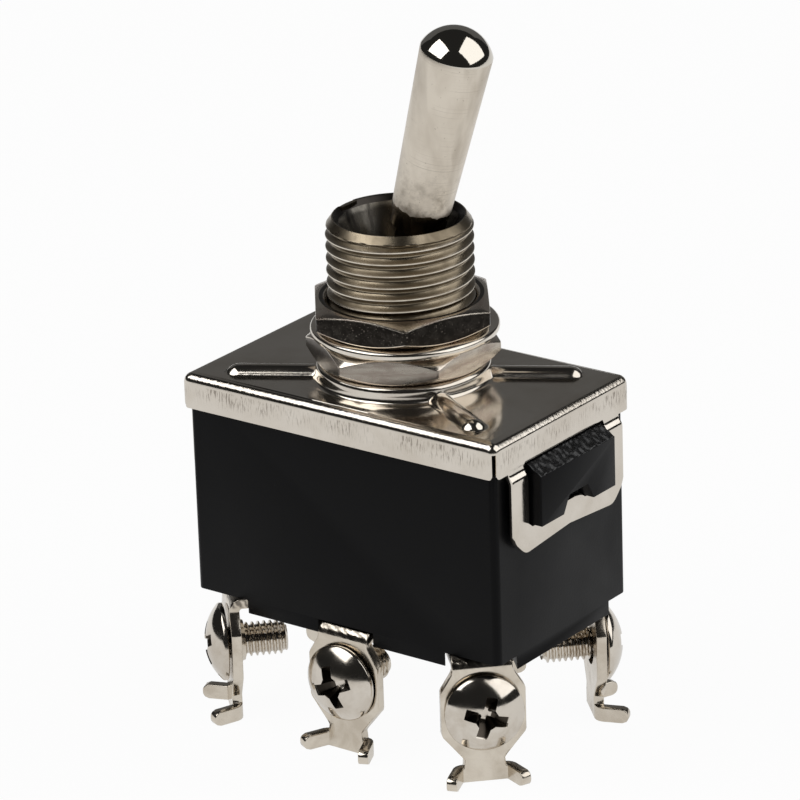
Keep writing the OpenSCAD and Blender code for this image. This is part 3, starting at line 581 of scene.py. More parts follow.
# %% Finishes on the solids, by how each node's name starts
FINISHES = {"insulator": board_grey, "lever_pin": ground_steel, "actuator": resin_brown, "plunger": nylon,
            "spring": spring_steel, "rocker": rocker_copper, "fulcrum": bracket_nickel,
            "moving": contact_silver, "fixed": contact_silver, "common": bracket_nickel,
            "terminal": terminal_nickel, "screw": screw_nickel, "case": case_black, "cover": cover_nickel,
            "bushing": thread_nickel, "lower": nut_nickel, "upper": nut_nickel, "washer": washer_nickel,
            "lever": lever_nickel}
for node in frame["nodes"]:
    frame["nodes"][node].data.materials.clear()
    finish = next(material for start, material in FINISHES.items() if node.startswith(start))
    frame["nodes"][node].data.materials.append(finish)

# %% [markdown]
# ## Case
# The case is one thermoset moulding. Its solid already has every recess and both lugs, so its mesh is copied,
# its flat faces are joined again and each edge is given the small radius that a mould leaves. The ramps on top
# of the lugs are torn where the cover's straps snapped over them. A bump map alone would leave their outline
# straight, so they are cut into a fine net whose points are really moved.

# %% Case
def copied(node, name):
    mesh = frame["nodes"][node].data.copy()
    bm = bmesh.new()
    bm.from_mesh(mesh)
    bmesh.ops.remove_doubles(bm, verts=bm.verts, dist=SAME_PLACE)
    bmesh.ops.dissolve_limit(bm, angle_limit=radians(0.5), verts=bm.verts, edges=bm.edges)
    bm.to_mesh(mesh)
    bm.free()
    made = bpy.data.objects.new(name, mesh)
    bpy.context.scene.collection.objects.link(made)
    return made

def on_ramp(p, n):
    return abs(p.x) > case_end_x - 1.7 and n.z > 0.3 and p.z > case_bottom + 16

def roughen(piece, chosen, step, depth):
    """Cuts the chosen faces into a fine net and pushes its inner points in and out, like torn moulding."""
    def found(bm, side):
        middles = ((f, f.calc_center_median()) for f in bm.faces)
        return [f for f, middle in middles if middle.x * side > 0 and chosen(middle / MM, f.normal)]

    bm = bmesh.new()
    bm.from_mesh(piece.data)
    for axis in (0, 1):
        for side in (-1, 1):
            reach = [v.co[axis] / MM for f in found(bm, side) for v in f.verts]
            for at in samples(min(reach), max(reach), step)[1:-1]:
                place, way = Vector((0, 0, 0)), Vector((0, 0, 0))
                place[axis], way[axis] = at * MM, 1
                faces = found(bm, side)
                edges = list({e for f in faces for e in f.edges})
                verts = list({v for f in faces for v in f.verts})
                bmesh.ops.bisect_plane(bm, geom=verts + edges + faces, dist=SAME_PLACE,
                                       plane_co=place, plane_no=way)
    faces = {f for f in bm.faces if chosen(f.calc_center_median() / MM, f.normal)}
    inner = [v for v in {v for f in faces for v in f.verts} if all(f in faces for f in v.link_faces)]
    for v in inner:
        lift = roughness_at(v.co / MM * 3.1) + 0.5 * roughness_at(v.co / MM * 7.7)
        v.co += v.normal * (depth * MM * lift)
    bm.to_mesh(piece.data)
    bm.free()
    print("points on the rough ramps:", len(inner))

case_piece = soften(copied("case", "case_moulding"), 0.14)
roughen(case_piece, on_ramp, 0.16, 0.09)
mark(case_piece, "crushed", lambda p, n: float(on_ramp(p, n)), "FACE")
finish_piece(case_piece, "case", case_black, 50)

# %% [markdown]
# ## Cover
# The cover is pressed from one sheet: a flat plate with a round boss and four ribs, flanges bent down all
# round with a slit at each corner, and a strap at each end that loops under a lug. It is drawn as one skin
# that runs from the boss out over the bends and down the flanges, then given the sheet's thickness.

# %% Cover: the plate's relief
HALF_X, HALF_Y, BEND = 15.7, 9.55, 0.8
RIB_HALF, RIB_HIGH, RIB_REACH, RIB_ROUND = 1.05, 0.7, 14.6, 0.97
rib_slope = atan2(8.5, 14.65)
rib_arc = (RIB_HALF ** 2 + RIB_HIGH ** 2) / (2 * RIB_HIGH)

def soft_max(a, b, k):
    h = max(k - abs(a - b), 0) / k
    return max(a, b) + h * h * k / 4

def rib_height(x, y):
    x, y = abs(x), abs(y)
    along = x * cos(rib_slope) + y * sin(rib_slope)
    across = abs(y * cos(rib_slope) - x * sin(rib_slope))
    over = along - (RIB_REACH - RIB_HALF)
    d = hypot(across, over) if over > 0 else across
    if d < rib_arc * RIB_ROUND:
        h = sqrt(rib_arc ** 2 - d * d) - (rib_arc - RIB_HIGH)
    else:
        h = sqrt(rib_arc ** 2 * (1 - RIB_ROUND ** 2)) - (rib_arc - RIB_HIGH) - (d - rib_arc * RIB_ROUND) * 3
    return soft_max(h, 0.0, 0.22)

BOSS_FOOT = 7.7

def boss_height(rho):
    high = boss_top - plate_z
    points = ((6.7, high), (6.93, high - 0.06), (7.09, high - 0.22), (7.15, high - 0.45), (7.18, 0.42),
              (7.26, 0.2), (7.42, 0.06), (BOSS_FOOT, 0.0))
    if rho <= points[0][0]:
        return high
    for (r0, h0), (r1, h1) in zip(points, points[1:]):
        if rho <= r1:
            return h0 + (h1 - h0) * (rho - r0) / (r1 - r0)
    return 0.0

def plate_height(x, y):
    return plate_z + soft_max(rib_height(x, y), boss_height(hypot(x, y)), 0.15)

# %% Cover: the skin
LEG_IN, LEG_OUT, JOG_HIGH = 5.6, 7.7, 0.9
FLANGE_LONG, GRID = 2.9, 0.16
FLANGE_Z = plate_z - FLANGE_LONG

edge_y = samples(0, LEG_IN, GRID) + samples(LEG_IN, LEG_OUT, GRID)[1:]
edge_y += samples(LEG_OUT, HALF_Y - BEND, GRID)[1:]
edge_y = [-v for v in reversed(edge_y[1:])] + edge_y
edge_x = samples(-(HALF_X - BEND), HALF_X - BEND, 0.17)
FAN = [0, 8, 16, 24, 33, 45, 57, 66, 74, 82, 90]

def columns():
    """Points round the flat plate's edge, the way each faces, and its angle where it fans round a corner."""
    out = []
    X, Y = HALF_X - BEND, HALF_Y - BEND
    sides = [([(X, y) for y in edge_y], 0), ([(x, Y) for x in reversed(edge_x)], 90),
             ([(-X, y) for y in reversed(edge_y)], 180), ([(x, -Y) for x in edge_x], 270)]
    for points, face in sides:
        out.extend((p, face, None) for p in points)
        out.extend((points[-1], face + a, a) for a in FAN[1:-1])
    return out

ring_of = columns()
print("columns round the plate:", len(ring_of))

# %% Cover: build
def build_cover():
    verts, faces, index = [], [], {}

    def vertex(x, y, z):
        key = (round(x, 4), round(y, 4), round(z, 4))
        if key not in index:
            index[key] = len(verts)
            verts.append((x, y, z))
        return index[key]

    inner = [6.05, 6.3, 6.6, 6.8, 6.93, 7.02, 7.09, 7.13, 7.15, 7.165, 7.18, 7.22, 7.26, 7.34, 7.42, 7.55]
    inner.append(BOSS_FOOT)
    grid = []
    for (px, py), face, fan in ring_of:
        reach, a = hypot(px, py), atan2(py, px)
        radii = inner + [BOSS_FOOT + (reach - BOSS_FOOT) * (i / 46) for i in range(1, 47)]
        column = [vertex(r * cos(a), r * sin(a), plate_height(r * cos(a), r * sin(a))) for r in radii[:-1]]
        column.append(vertex(px, py, plate_z))
        n = Vector((cos(radians(face)), sin(radians(face))))
        for i in range(1, 9):
            t = radians(90 * i / 8)
            column.append(vertex(px + n.x * BEND * sin(t), py + n.y * BEND * sin(t),
                                 plate_z - BEND * (1 - cos(t))))
        if fan != 45:
            low = FLANGE_Z
            if face in (0, 180) and abs(py) < LEG_IN - 0.01:
                low += 0.25
            if fan in (33, 57):
                low += 0.28
            elif fan in (24, 66):
                low += 0.06
            for i in range(1, 13):
                z = plate_z - BEND + (low - plate_z + BEND) * i / 12
                column.append(vertex(px + n.x * BEND, py + n.y * BEND, z))
        grid.append(column)
    for a, b in zip(grid, grid[1:] + grid[:1]):
        rows = min(len(a), len(b))
        for i in range(rows - 1):
            quad = [a[i], a[i + 1], b[i + 1], b[i]]
            unique = list(dict.fromkeys(quad))
            if len(unique) > 2:
                faces.append(unique)

    def fill(rows):
        for r0, r1 in zip(rows, rows[1:]):
            for k in range(len(r0) - 1):
                faces.append([r0[k], r0[k + 1], r1[k + 1], r1[k]])

    bar_low, bar_high, stake, corner = 19.8, 21.8, 0.5, 0.45

    def strap_x(z):
        return HALF_X + SHEET * smooth((FLANGE_Z - z) / JOG_HIGH)

    legs = [v for v in edge_y if LEG_IN - 1e-6 <= v <= LEG_OUT + 1e-6]
    leg_z = samples(bar_high, FLANGE_Z, 0.2)[::-1]

    def leg_in(z):
        return LEG_IN - corner * max(0.0, 1.0 - (z - bar_high) / corner) ** 1.6

    def bar_edges(y):
        """The bar's lower and upper edge: staked up in the middle, with its outer corners cut and rounded."""
        y = abs(y)
        cut = soft_max(0.0, (y - LEG_OUT + 1.5) * 0.95, 0.5) + 0.4 * max(0.0, (y - LEG_OUT + 0.4) / 0.4) ** 2
        return bar_low + stake * max(0.0, 1 - y / 6.2) + cut, bar_high + stake * smooth((2.3 - y) / 0.8)

    for side in (1, -1):
        for hand in (1, -1):
            rows = []
            for z in leg_z:
                row = []
                for y in legs:
                    t = (LEG_OUT - y) / (LEG_OUT - LEG_IN)
                    row.append(vertex(side * strap_x(z), hand * (LEG_OUT + (leg_in(z) - LEG_OUT) * t), z))
                rows.append(row)
            fill(rows)
        inner_y = samples(-leg_in(bar_high), leg_in(bar_high), 0.13)
        outer = [LEG_OUT + (leg_in(bar_high) - LEG_OUT) * (LEG_OUT - y) / (LEG_OUT - LEG_IN)
                 for y in legs]
        across = [-v for v in reversed(outer[1:])] + inner_y + outer[1:]
        rows = []
        for i in range(9):
            row = []
            for y in across:
                low, high = bar_edges(y)
                z = high + (low - high) * i / 8
                row.append(vertex(side * strap_x(z), y, z))
            rows.append(row)
        fill(rows)
    return verts, faces

cover_piece = new_object("pressed_cover", *build_cover())
up_side = max(cover_piece.data.polygons, key=lambda p: p.center.z)
if up_side.normal.z < 0:
    cover_piece.data.flip_normals()
modifier(cover_piece, "SOLIDIFY", thickness=SHEET * MM, offset=-1, use_even_offset=True)
settle(cover_piece)
soften(cover_piece, 0.05, 2, 55)
finish_piece(cover_piece, "cover", cover_nickel, 50)

# %% [markdown]
# ## Bushing
# A turned brass sleeve with a one-millimetre thread, a conical mouth for the lever and a keyway milled down
# one side. The thread is real relief: the rows of the skin climb with it, so that each crest and each root has
# a row of its own. The keyway gets columns of its own, so that its edges stay straight through the turns.

# %% Bushing
THREAD_R, RIM_R, THROAT_R, KEY_HALF, KEY_FLOOR = 6.0, 5.45, 3.2, 1.0, 4.95
PITCH, THREAD_DEPTH, PHASE, ROWS = 1.0, 0.44, 0.35, 20
SINK_R, SINK_DEEP, LEAD, FLANGE_R = 4.9, 0.45, 0.75, 6.65
THREAD_FROM = upper_nut_top - 1.0
KEY_EDGE = asin(KEY_HALF / THREAD_R)

def thread_cut(turns):
    """How deep the thread is cut, from 0 on its narrow crest to 1 in its round root."""
    rise = abs(2 * (turns % 1.0) - 1) / 0.9
    return 0.0 if rise >= 1 else 1 - rise ** 1.8

def bushing_radius(z, turn):
    if z < THREAD_FROM:
        return THREAD_R - 0.02
    fade = smooth((rim_z - 0.5 - z) / 0.4) * smooth((z - THREAD_FROM) / 0.6)
    r = THREAD_R - THREAD_DEPTH * fade * thread_cut((z - THREAD_FROM) / PITCH - turn + PHASE)
    if z > rim_z - LEAD:
        r = min(r, THREAD_R + (RIM_R - THREAD_R) * (z - rim_z + LEAD) / LEAD)
    return r

RING_POINTS = 192

def bushing_ring(z, outer=None, row=None):
    """One ring of the skin. With a row number the ring climbs with the thread, so crests fall on rows."""
    ring = []
    n = RING_POINTS

    def level_at(turn):
        if row is None:
            return z
        return min(max(THREAD_FROM + PITCH * (row / ROWS + turn), THREAD_FROM), rim_z)

    for k in range(n + 1):
        a = -pi + KEY_EDGE + (2 * pi - 2 * KEY_EDGE) * k / n
        turn = a / (2 * pi)
        h = level_at(turn)
        r = outer if outer else bushing_radius(h, turn)
        x, y = r * cos(a), r * sin(a)
        if k in (0, n) and not outer:
            y = -KEY_HALF if k == 0 else KEY_HALF
            x = -sqrt(r * r - KEY_HALF ** 2)
        ring.append((x, y, h))
    for i in range(5):
        y = KEY_HALF * (1 - i / 2)
        if outer:
            a = pi - asin(min(1, y / outer))
            ring.append((outer * cos(a), outer * sin(a), z))
        else:
            ring.append((-KEY_FLOOR, y, level_at((1 - i / 2) * (0.5 - KEY_EDGE / (2 * pi)))))
    return ring

FOOT_R, HIDDEN_R, LIP_R, LIP_DROP = 4.3, THREAD_R - 0.02, RIM_R - 0.16, 0.04
flange_top = boss_top - SHEET - 0.05
rows = [bushing_ring(z, r) for z, r in ((case_top, FOOT_R), (case_top, FLANGE_R), (flange_top, FLANGE_R),
                                        (flange_top, HIDDEN_R), (boss_top - 0.01, HIDDEN_R))]
rows += [bushing_ring(boss_top), bushing_ring(THREAD_FROM)]
last_row = ceil((rim_z - THREAD_FROM) / PITCH * ROWS) + ROWS // 2
rows += [bushing_ring(0, row=k) for k in range(-ROWS // 2, last_row + 1)]
rows += [bushing_ring(rim_z, RIM_R - 0.1), bushing_ring(rim_z - LIP_DROP, LIP_R)]
sink_z, throat_z = rim_z - SINK_DEEP, pivot_z + 1.4
for i in range(1, 5):
    rows.append(bushing_ring(rim_z - LIP_DROP + (sink_z - rim_z + LIP_DROP) * i / 4,
                             LIP_R + (SINK_R - RIM_R + 0.16) * i / 4))
for i in range(1, 11):
    rows.append(bushing_ring(sink_z + (throat_z - sink_z) * i / 10, SINK_R + (THROAT_R - SINK_R) * i / 10))
rows += [bushing_ring(pivot_z - 2.2, THROAT_R), bushing_ring(case_top, FOOT_R)]
bushing_piece = new_object("threaded_bushing", *stack(rows, caps=False))

def crest_share(p, n):
    return smooth((hypot(p.x, p.y) - THREAD_R + 0.12) / 0.1) if p.z > THREAD_FROM + 0.6 else 0.0

def in_sink(p, n):
    return float(n.z > 0.3 and sink_z - 0.01 < p.z and hypot(p.x, p.y) < RIM_R - 0.12)

def in_bore(p, n):
    return float(hypot(p.x, p.y) < SINK_R + 0.02 and p.z > case_top + 1)

# The finish paints these regions: crests bright as a painted highlight, countersink and bore dark as painted
# shade.
mark(bushing_piece, "crest", crest_share)
mark(bushing_piece, "sink", in_sink, "FACE")
mark(bushing_piece, "bore", in_bore, "FACE")
finish_piece(bushing_piece, "bushing", thread_nickel, 38)

# %% [markdown]
# ## Nuts and washer
# A hexagon nut gets its curved edges because a cone turns the corners off. Here the radius follows the
# hexagon and the height of the wall follows that cone, so the curves on each flat come out by themselves. The
# flats of the two nuts mirror the room differently, so each flat's colour is a painted reflection: its own
# share of bright nickel over near black, with the rounded edges painted bright as a painted highlight.

# %% Nuts
FLATS, FACE_R, MOUTH_R, HOLE_R, NUT_POINTS = 14.0, 6.7, 6.35, 6.05, 360

def hex_radius(a, turn):
    t = (a - turn) % (pi / 3) - pi / 6
    return min(FLATS / 2 / cos(t), FLATS / 2 / cos(pi / 6) - 0.06)

def nut_piece(node, name, turn, top_cut, low_cut, flat_reflections):
    low, high = levels(node)
    n = NUT_POINTS
    corner = FLATS / 2 / cos(pi / 6)

    def ring(r=None, z=None, edge=None):
        out = []
        for k in range(n):
            a = 2 * pi * k / n
            q = r if r else hex_radius(a, turn)
            h = z
            share = (q - FACE_R) / (corner - FACE_R)
            if edge == "top":
                h = high - top_cut * share
            if edge == "low":
                h = low + low_cut * share
            out.append((q * cos(a), q * sin(a), h))
        return out

    rows = [ring(HOLE_R, low + 0.3), ring(MOUTH_R, low), ring(FACE_R, low), ring(edge="low"), ring(edge="top"),
            ring(FACE_R, high), ring(MOUTH_R, high), ring(HOLE_R, high - 0.3), ring(HOLE_R, low + 0.3)]
    piece = new_object(name, *stack(rows, caps=False))
    soften(piece, 0.07, 2, 22)

    # Painted reflection: faces near black as the dark room mirrored, each flat its own share of nickel,
    # rounded edges painted bright as a highlight.
    def painted_reflection(p, n):
        if abs(n.z) > 0.97:
            return 0.06
        if abs(n.z) > 0.06:
            return 0.95
        return flat_reflections[int((atan2(p.y, p.x) - turn) % (2 * pi) / (pi / 3))]

    mark(piece, "painted_reflection", painted_reflection, "FACE")
    finish_piece(piece, node, nut_nickel, 30)

nut_piece("lower_nut", "lower_hexagon_nut", radians(26.8), 0.85, 0.9, (0.4, 0.5, 0.3, 0.2, 0.5, 0.7))
nut_piece("upper_nut", "upper_hexagon_nut", radians(7.7), 0.5, 0.8, (0.05, 0.12, 0.08, 0.04, 0.0, 0.0))

# %% Washer
low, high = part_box("washer")
washer_x, washer_y = (low.x + high.x) / 2 / MM, (low.y + high.y) / 2 / MM
washer_r = (high.x - low.x) / 2 / MM
z0, z1 = levels("washer")
WASHER_HOLE_R, bend = 6.25, 0.3
steps = (pi / 8, pi / 4, 3 * pi / 8, pi / 2)
profile = [(WASHER_HOLE_R, z0), (washer_r - bend, z0)]
profile += [(washer_r - bend + bend * sin(t), z0 + bend - bend * cos(t)) for t in steps]
profile += [(washer_r - bend + bend * cos(t), z1 - bend + bend * sin(t)) for t in (0, *steps)]
profile += [(WASHER_HOLE_R, z1), (WASHER_HOLE_R, z0)]
rows = turned(profile, 160)
beside = Matrix.Translation((washer_x, washer_y, 0))
washer_piece = new_object("plain_washer", *stack(rows, caps=False), matrix=beside)
finish_piece(washer_piece, "washer", washer_nickel, 50)

# %% [markdown]
# ## Lever
# The lever is turned from bar: a bat that widens to a domed end, a narrower neck, and below it a flat tongue
# that goes down through the pivot. Each part is drawn upright, placed through one matrix that tilts it about
# the cross pin, and then joined to the others.

# %% Lever
TILT = radians(16.0)
BAT_FROM, BAT_LONG, BAT_LOW, BAT_TOP, DOME = 8.1, 14.4, 2.4, 2.95, 1.95
tilted = Matrix.Translation((0, 0, pivot_z)) @ Matrix.Rotation(TILT, 4, "Y")
dome_r = (BAT_TOP ** 2 + DOME ** 2) / (2 * DOME)
NECK_R, NECK_LONG = 2.25, 1.3
profile = [(0, BAT_FROM - NECK_LONG - 0.5), (NECK_R, BAT_FROM - NECK_LONG), (NECK_R, BAT_FROM)]
profile += [(BAT_LOW - 0.08, BAT_FROM), (BAT_LOW, BAT_FROM + 0.06)]
for t in samples(0.01, 1, 1 / 24):
    profile.append((BAT_LOW + (BAT_TOP - BAT_LOW) * t, BAT_FROM + BAT_LONG * t))
span_a = asin(BAT_TOP / dome_r)
for i in range(1, 25):
    a = span_a * (1 - i / 24)
    profile.append((dome_r * sin(a) if i < 24 else 0, BAT_FROM + BAT_LONG + DOME - dome_r + dome_r * cos(a)))
bat = new_object("bat_lever", *stack(turned(profile, 144)), matrix=tilted)

def block_rings(half_x, half_y, cut, low, high):
    outline = [(half_x, -half_y + cut), (half_x, half_y - cut), (half_x - cut, half_y),
               (-half_x + cut, half_y), (-half_x, half_y - cut), (-half_x, -half_y + cut),
               (-half_x + cut, -half_y), (half_x - cut, -half_y)]
    return [[(x, y, z) for x, y in outline] for z in (low, high)]

def join(piece, other, operation):
    modifier(piece, "BOOLEAN", operation=operation, object=other, solver="EXACT")
    settle(piece)
    mesh = other.data
    bpy.data.objects.remove(other)
    bpy.data.meshes.remove(mesh)

def rod(name, radius, half_long, count, matrix):
    profile = [(0, -half_long), (radius, -half_long), (radius, half_long), (0, half_long)]
    return new_object(name, *stack(turned(profile, count)), matrix=matrix)

tongue = new_object("tongue", *stack(block_rings(1.5, 1.1, 0.3, -15.0, BAT_FROM - 0.7)), matrix=tilted)
crosswise = tilted @ Matrix.Rotation(pi / 2, 4, "X")
hub = rod("hub", 2.4, 1.6, 64, crosswise)
bore = rod("bore", 0.95, 3, 48, crosswise)
join(tongue, hub, "UNION")
join(tongue, bore, "DIFFERENCE")
join(bat, tongue, "UNION")
upright_again = tilted.inverted()
mark(bat, "along", lambda p, n: (upright_again @ p).z - BAT_FROM)
mark(bat, "dome", lambda p, n: float((upright_again @ p).z > BAT_FROM + BAT_LONG), "FACE")
finish_piece(bat, "lever", lever_nickel, 30)

# %% [markdown]
# ## Terminals
# Each terminal is cut and bent from brass strip: it comes out under the case, turns down, widens round the
# screw, narrows to a waist and ends in two ears bent forward. It is laid out flat first, in rows across the
# strip, and two bends carry the rows round, so the thickness stays the same through the bends.

# %% Terminal: the flat sheet, bent
PLATE, RUN, INNER_BEND = 0.85, 7.5, 0.25
PLACES = {"front_left": (-13.05, -8.25, -45), "front_middle": (0, -9.6, 0), "front_right": (13.05, -8.25, 45),
          "back_left": (-13.05, 8.25, -135), "back_middle": (0, 9.6, 180), "back_right": (13.05, 8.25, 135)}
EAR_BEND, EAR_LONG, EAR_TURN, EAR_R, EAR_HIGH, TAIL_HIGH = 1.72, 2.75, radians(66), 0.55, 1.25, 1.4

def outline_half(z):
    points = ((0.0, 1.78), (1.25, 1.78), (1.6, 1.7), (1.95, 1.65), (2.25, 1.85), (4.1, 3.36), (4.35, 3.45),
              (7.95, 3.45), (8.15, 3.38), (9.5, 2.55), (9.8, 2.45), (20, 2.45))
    for (z0, w0), (z1, w1) in zip(points, points[1:]):
        if z <= z1:
            return w0 + (w1 - w0) * (z - z0) / (z1 - z0)
    return points[-1][1]

def around_top(s, depth):
    """Where a point s up the flat strip goes, for the sheet's layer at this depth behind the front face."""
    middle = INNER_BEND + PLATE / 2
    start = STRIP_TOP - PLATE - INNER_BEND
    if s <= start:
        return depth, s
    turn = (s - start) / middle
    centre_y = PLATE + INNER_BEND
    radius = PLATE + INNER_BEND - depth
    if turn < pi / 2:
        return centre_y - radius * cos(turn), start + radius * sin(turn)
    return centre_y + (s - start - middle * pi / 2), start + radius

def around_ear(u, depth):
    """Where a point u across the tail goes: past the bend line it turns forward."""
    sign = 1 if u > 0 else -1
    over = abs(u) - EAR_BEND
    if over <= 0:
        return u, depth
    length = EAR_R * EAR_TURN
    turn = min(over / EAR_R, EAR_TURN)
    centre = -EAR_R + PLATE / 2
    r = depth - centre
    x = EAR_BEND + r * sin(turn)
    y = centre + r * cos(turn)
    rest = max(0.0, over - length)
    return sign * (x + rest * cos(EAR_TURN)), y - rest * sin(EAR_TURN)

def terminal_mesh():
    verts, faces, index = [], [], {}

    def vertex(u, s, layer):
        key = (round(u, 3), round(s, 3), layer)
        if key not in index:
            depth = PLATE if layer else 0.0
            if s < TAIL_HIGH:
                x, y = around_ear(u, depth)
                z = s
            else:
                x = u
                y, z = around_top(s, depth)
            index[key] = len(verts)
            verts.append((x, y, z))
        return index[key]

    tail = samples(0, EAR_HIGH, 0.16)
    body = [TAIL_HIGH, 1.6, 1.78, 1.95, 2.1, 2.25, 2.6, 3.2, 4.1, 4.35]
    body += samples(4.35, 7.95, 0.5)[1:] + [8.15, 8.6, 9.1, 9.5]
    start = STRIP_TOP - PLATE - INNER_BEND
    bent = samples(start, start + (INNER_BEND + PLATE / 2) * pi / 2, 0.1)
    strip = samples(bent[-1], bent[-1] + RUN - 1.1, 1.0)[1:]
    levels_up = tail + body + bent + strip
    share = [i / 8 - 1 for i in range(17)]

    def row(s, layer):
        w = outline_half(s) if s > TAIL_HIGH else EAR_BEND
        return [vertex(c * w, s, layer) for c in share]

    def ear(s, layer, hand):
        over = max(abs(s - EAR_HIGH / 2) - (EAR_HIGH / 2 - EAR_R), 0)
        long = EAR_LONG - EAR_R + sqrt(max(EAR_R * EAR_R - over * over, 0))
        return [vertex(hand * (EAR_BEND + long * i / 12), s, layer) for i in range(13)]

    def strips(rows_front, rows_back, closed_sides):
        for (a, b), (c, d) in zip(zip(rows_front, rows_back), zip(rows_front[1:], rows_back[1:])):
            for k in range(len(a) - 1):
                faces.append((a[k], a[k + 1], c[k + 1], c[k]))
                faces.append((b[k], d[k], d[k + 1], b[k + 1]))
            for k in closed_sides:
                faces.append((a[k], c[k], d[k], b[k]))

    front = [row(s, 0) for s in levels_up]
    back = [row(s, 1) for s in levels_up]
    cut = len(tail) - 1
    strips(front[cut:], back[cut:], (0, -1))
    strips(front[:cut + 1], back[:cut + 1], ())
    ends = [(front[0], back[0]), (front[-1], back[-1])]
    for hand in (1, -1):
        ears = [(ear(s, 0, hand), ear(s, 1, hand)) for s in tail]
        strips([a for a, _ in ears], [b for _, b in ears], (-1,))
        ends += [ears[0], ears[-1]]
    for a, b in ends:
        for k in range(len(a) - 1):
            faces.append((a[k], a[k + 1], b[k + 1], b[k]))
    return verts, faces

# %% Terminal: hole and the collar drawn out of it, then one in each place
def place_matrix(name):
    x, y, turn = PLACES[name]
    return Matrix.Translation((x, y, 0)) @ Matrix.Rotation(radians(turn), 4, "Z")

SCREW_Z, HOLE_HALF = 6.2, 1.5
facing = Matrix.Translation((0, 0, SCREW_Z)) @ Matrix.Rotation(pi / 2, 4, "X")

def terminal_piece(name):
    place = place_matrix(name)
    piece = new_object("terminal_strip_" + name, *terminal_mesh(), matrix=place)
    soften(piece, 0.09, 2, 40)
    join(piece, rod("hole", HOLE_HALF, 3, 48, place @ facing), "DIFFERENCE")
    collar = [(HOLE_HALF, -PLATE - 0.5), (1.68, -PLATE - 0.5), (1.85, -PLATE - 0.05), (1.95, -PLATE + 0.1),
              (HOLE_HALF, -PLATE + 0.1), (HOLE_HALF, -PLATE - 0.5)]
    ring = new_object("collar", *stack(turned(collar, 48), caps=False), matrix=place @ facing)
    join(piece, ring, "UNION")
    finish_piece(piece, "terminal_" + name, terminal_nickel, 45)

for name in PLACES:
    terminal_piece(name)

# %% [markdown]
# ## Terminal screws
# Small machine screws with a low domed head. The whole screw is one skin of rings, with the thread as relief
# on the shank. The cross recess is cut out of it with a tapered cross, so its walls lean in as a driver's tip
# does. How far each point lies below the dome is stored on the mesh, and the finish darkens the recess by it
# as painted shade.

# %% Screws
HEAD_R, HEAD_H, HEAD_EDGE, GAP, SHANK_R, BEHIND = 3.25, 1.7, 0.35, 0.2, 1.45, 4.1
SHANK_END = -GAP - PLATE - BEHIND
SPINS = {"front_left": 30, "front_middle": 21, "front_right": -16,
         "back_left": 55, "back_middle": 8, "back_right": 70}
SCREW_PITCH, SCREW_THREAD_DEPTH, THREAD_STEP = 0.5, 0.27, 0.045

def screw_thread(z, angle, r):
    if r != SHANK_R:
        return r
    fade = smooth((z - SHANK_END) / 0.35)
    t = (z / SCREW_PITCH - angle / (2 * pi)) % 1.0
    cut = SCREW_THREAD_DEPTH * smooth((1 - abs(2 * t - 1) - 0.1) / 0.7)
    return (SHANK_R - cut) * (0.8 + 0.2 * fade)

def cross_rings():
    """A driver's tip: a cross that narrows and shortens with depth, with its inner corners filled."""
    rings = []
    for z, long, half, fill in ((HEAD_H - 1.5, 0.5, 0.18, 0.12), (HEAD_H - 1.3, 0.95, 0.3, 0.2),
                                (HEAD_H - 0.3, 1.9, 0.47, 0.34), (HEAD_H + 0.1, 2.0, 0.5, 0.36)):
        ring = []
        for turn in range(4):
            c, s = ((1, 0), (0, 1), (-1, 0), (0, -1))[turn]
            for x, y in ((long, -half), (long, half), (half + fill, half), (half, half + fill)):
                ring.append((x * c - y * s, x * s + y * c, z))
        rings.append(ring)
    return rings

def screw_piece(name):
    rise = HEAD_H - HEAD_EDGE
    ball = (HEAD_R ** 2 + rise ** 2) / (2 * rise)
    profile = [(0, HEAD_H)]
    widest = asin(HEAD_R / ball)
    for i in range(1, 16):
        a = widest * i / 16
        profile.append((ball * sin(a), HEAD_H - ball + ball * cos(a)))
    profile += [(HEAD_R - 0.06, HEAD_EDGE + 0.06), (HEAD_R, HEAD_EDGE - 0.05), (HEAD_R, 0.08),
                (HEAD_R - 0.08, 0.0), (SHANK_R + 0.001, 0.0)]
    profile += [(SHANK_R, z) for z in reversed(samples(SHANK_END, -0.05, THREAD_STEP))]
    profile += [(0, SHANK_END)]
    rings = turned(profile, 96, screw_thread)
    place = place_matrix(name) @ facing @ Matrix.Translation((0, 0, GAP))
    piece = new_object("machine_screw_" + name, *stack(rings), matrix=place)
    spun = place @ Matrix.Rotation(radians(SPINS[name]), 4, "Z")
    join(piece, new_object("driver_tip", *stack(cross_rings()), matrix=spun), "DIFFERENCE")
    upright_head = place.inverted()

    def depth(p, n):
        q = upright_head @ p
        inside = HEAD_EDGE - 0.1 < q.z and hypot(q.x, q.y) < 2.3
        return max(0.0, ball - (q - Vector((0, 0, HEAD_H - ball))).length) if inside else 0.0

    mark(piece, "depth", depth)
    finish_piece(piece, "screw_" + name, screw_nickel, 35)

for name in PLACES:
    screw_piece(name)

# %% [markdown]
# ## Light and floor
# A wide pale floor and two large soft lamps, one to each side, as over a product table, with a faint third
# far behind. Bright metal takes its look from what it mirrors, so between the lamps the room stays dim. To the
# camera and in mirrors the floor also glows, which keeps the background pale without more light on the part.

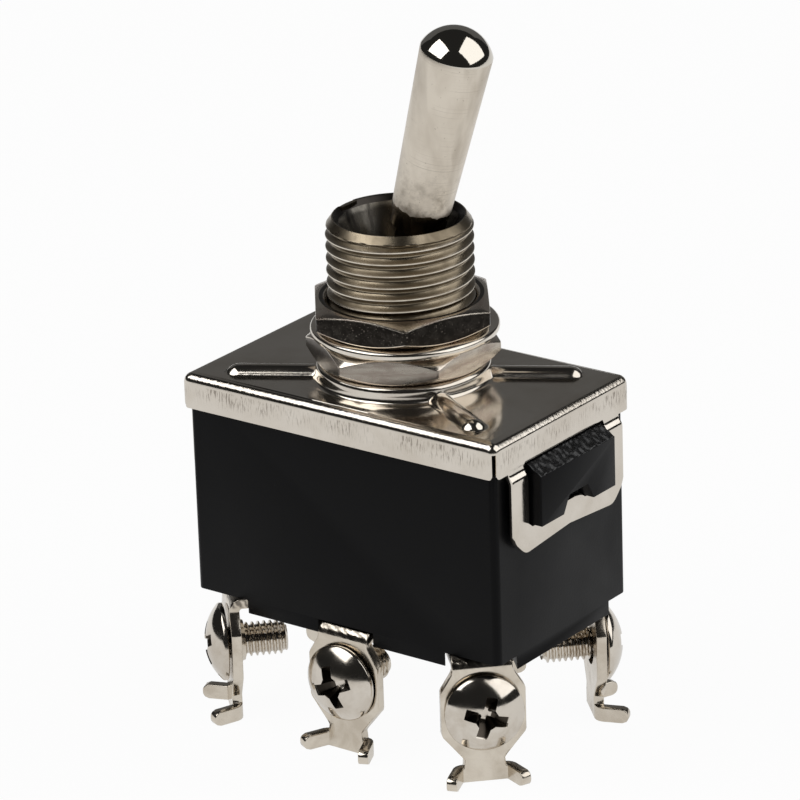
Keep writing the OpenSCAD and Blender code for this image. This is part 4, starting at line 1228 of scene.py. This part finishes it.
# %% Floor
FLOOR_HALF, FLOOR_GAP, SEEN_GLOW, MIRRORED_GLOW = 4.0, 0.00002, 0.96, 0.7
bm = bmesh.new()
bmesh.ops.create_grid(bm, x_segments=8, y_segments=8, size=FLOOR_HALF)
mesh = bpy.data.meshes.new("floor")
bm.to_mesh(mesh)
bm.free()
floor = bpy.data.objects.new("floor", mesh)
floor.location.z = solid_box[0][2] - FLOOR_GAP
bpy.context.scene.collection.objects.link(floor)
material, tree, shader = new_material("pale floor")
shader.inputs["Base Color"].default_value = rgb(0.86, 0.86, 0.86)
shader.inputs["Roughness"].default_value = 0.9
shader.inputs["Specular IOR Level"].default_value = 0.0
path = add(tree, "ShaderNodeLightPath")
seen = times(tree, larger(tree, path.outputs["Is Camera Ray"], path.outputs["Is Transmission Ray"]), SEEN_GLOW)
mirrored = times(tree, path.outputs["Is Glossy Ray"], MIRRORED_GLOW)
glow = add(tree, "ShaderNodeEmission", {"Color": rgb(1, 1, 1), "Strength": 1.0})
share = larger(tree, seen, mirrored)
both = add(tree, "ShaderNodeMixShader", {0: share, 1: shader.outputs[0], 2: glow.outputs[0]})
tree.links.new(both.outputs[0], tree.nodes["Material Output"].inputs["Surface"])
mesh.materials.append(material)
floor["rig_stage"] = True

# %% Lamps and room
LAMPS_AIM = Vector((0, 0, 0.03))

def lamp(name, azimuth, elevation, distance, width, height, power):
    light = bpy.data.lights.new(name, "AREA")
    light.shape = "RECTANGLE"
    light.size, light.size_y = width, height
    light.energy = power
    made = bpy.data.objects.new(name, light)
    a, e = radians(azimuth), radians(elevation)
    away = Vector((sin(a) * cos(e), -cos(a) * cos(e), sin(e)))
    made.location = away * distance + LAMPS_AIM
    made.rotation_euler = away.to_track_quat("Z", "Y").to_euler()
    bpy.context.scene.collection.objects.link(made)

lamp("left softbox", -35, 52, 0.9, 0.85, 0.55, 3.8)
lamp("right softbox", 115, 40, 0.9, 1.1, 0.9, 4.6)
lamp("far wall", 217, 22, 1.3, 1.9, 0.9, 0.5)
world = bpy.data.worlds.new("room")
bpy.context.scene.world = world
world.use_nodes = True
world.node_tree.nodes["Background"].inputs["Color"].default_value = rgb(0.02, 0.02, 0.02)
print("lamps:", len(bpy.data.lights))

# %% Sizes of the solids and of the drawn pieces; their differences are printed
sizes = {"solids": [list(c) for c in solid_box], "visual": [list(c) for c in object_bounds()]}
corners = zip(sizes["solids"], sizes["visual"])
print("box differs in mm by", [[round((a - b) / MM, 3) for a, b in zip(p, q)] for p, q in corners])
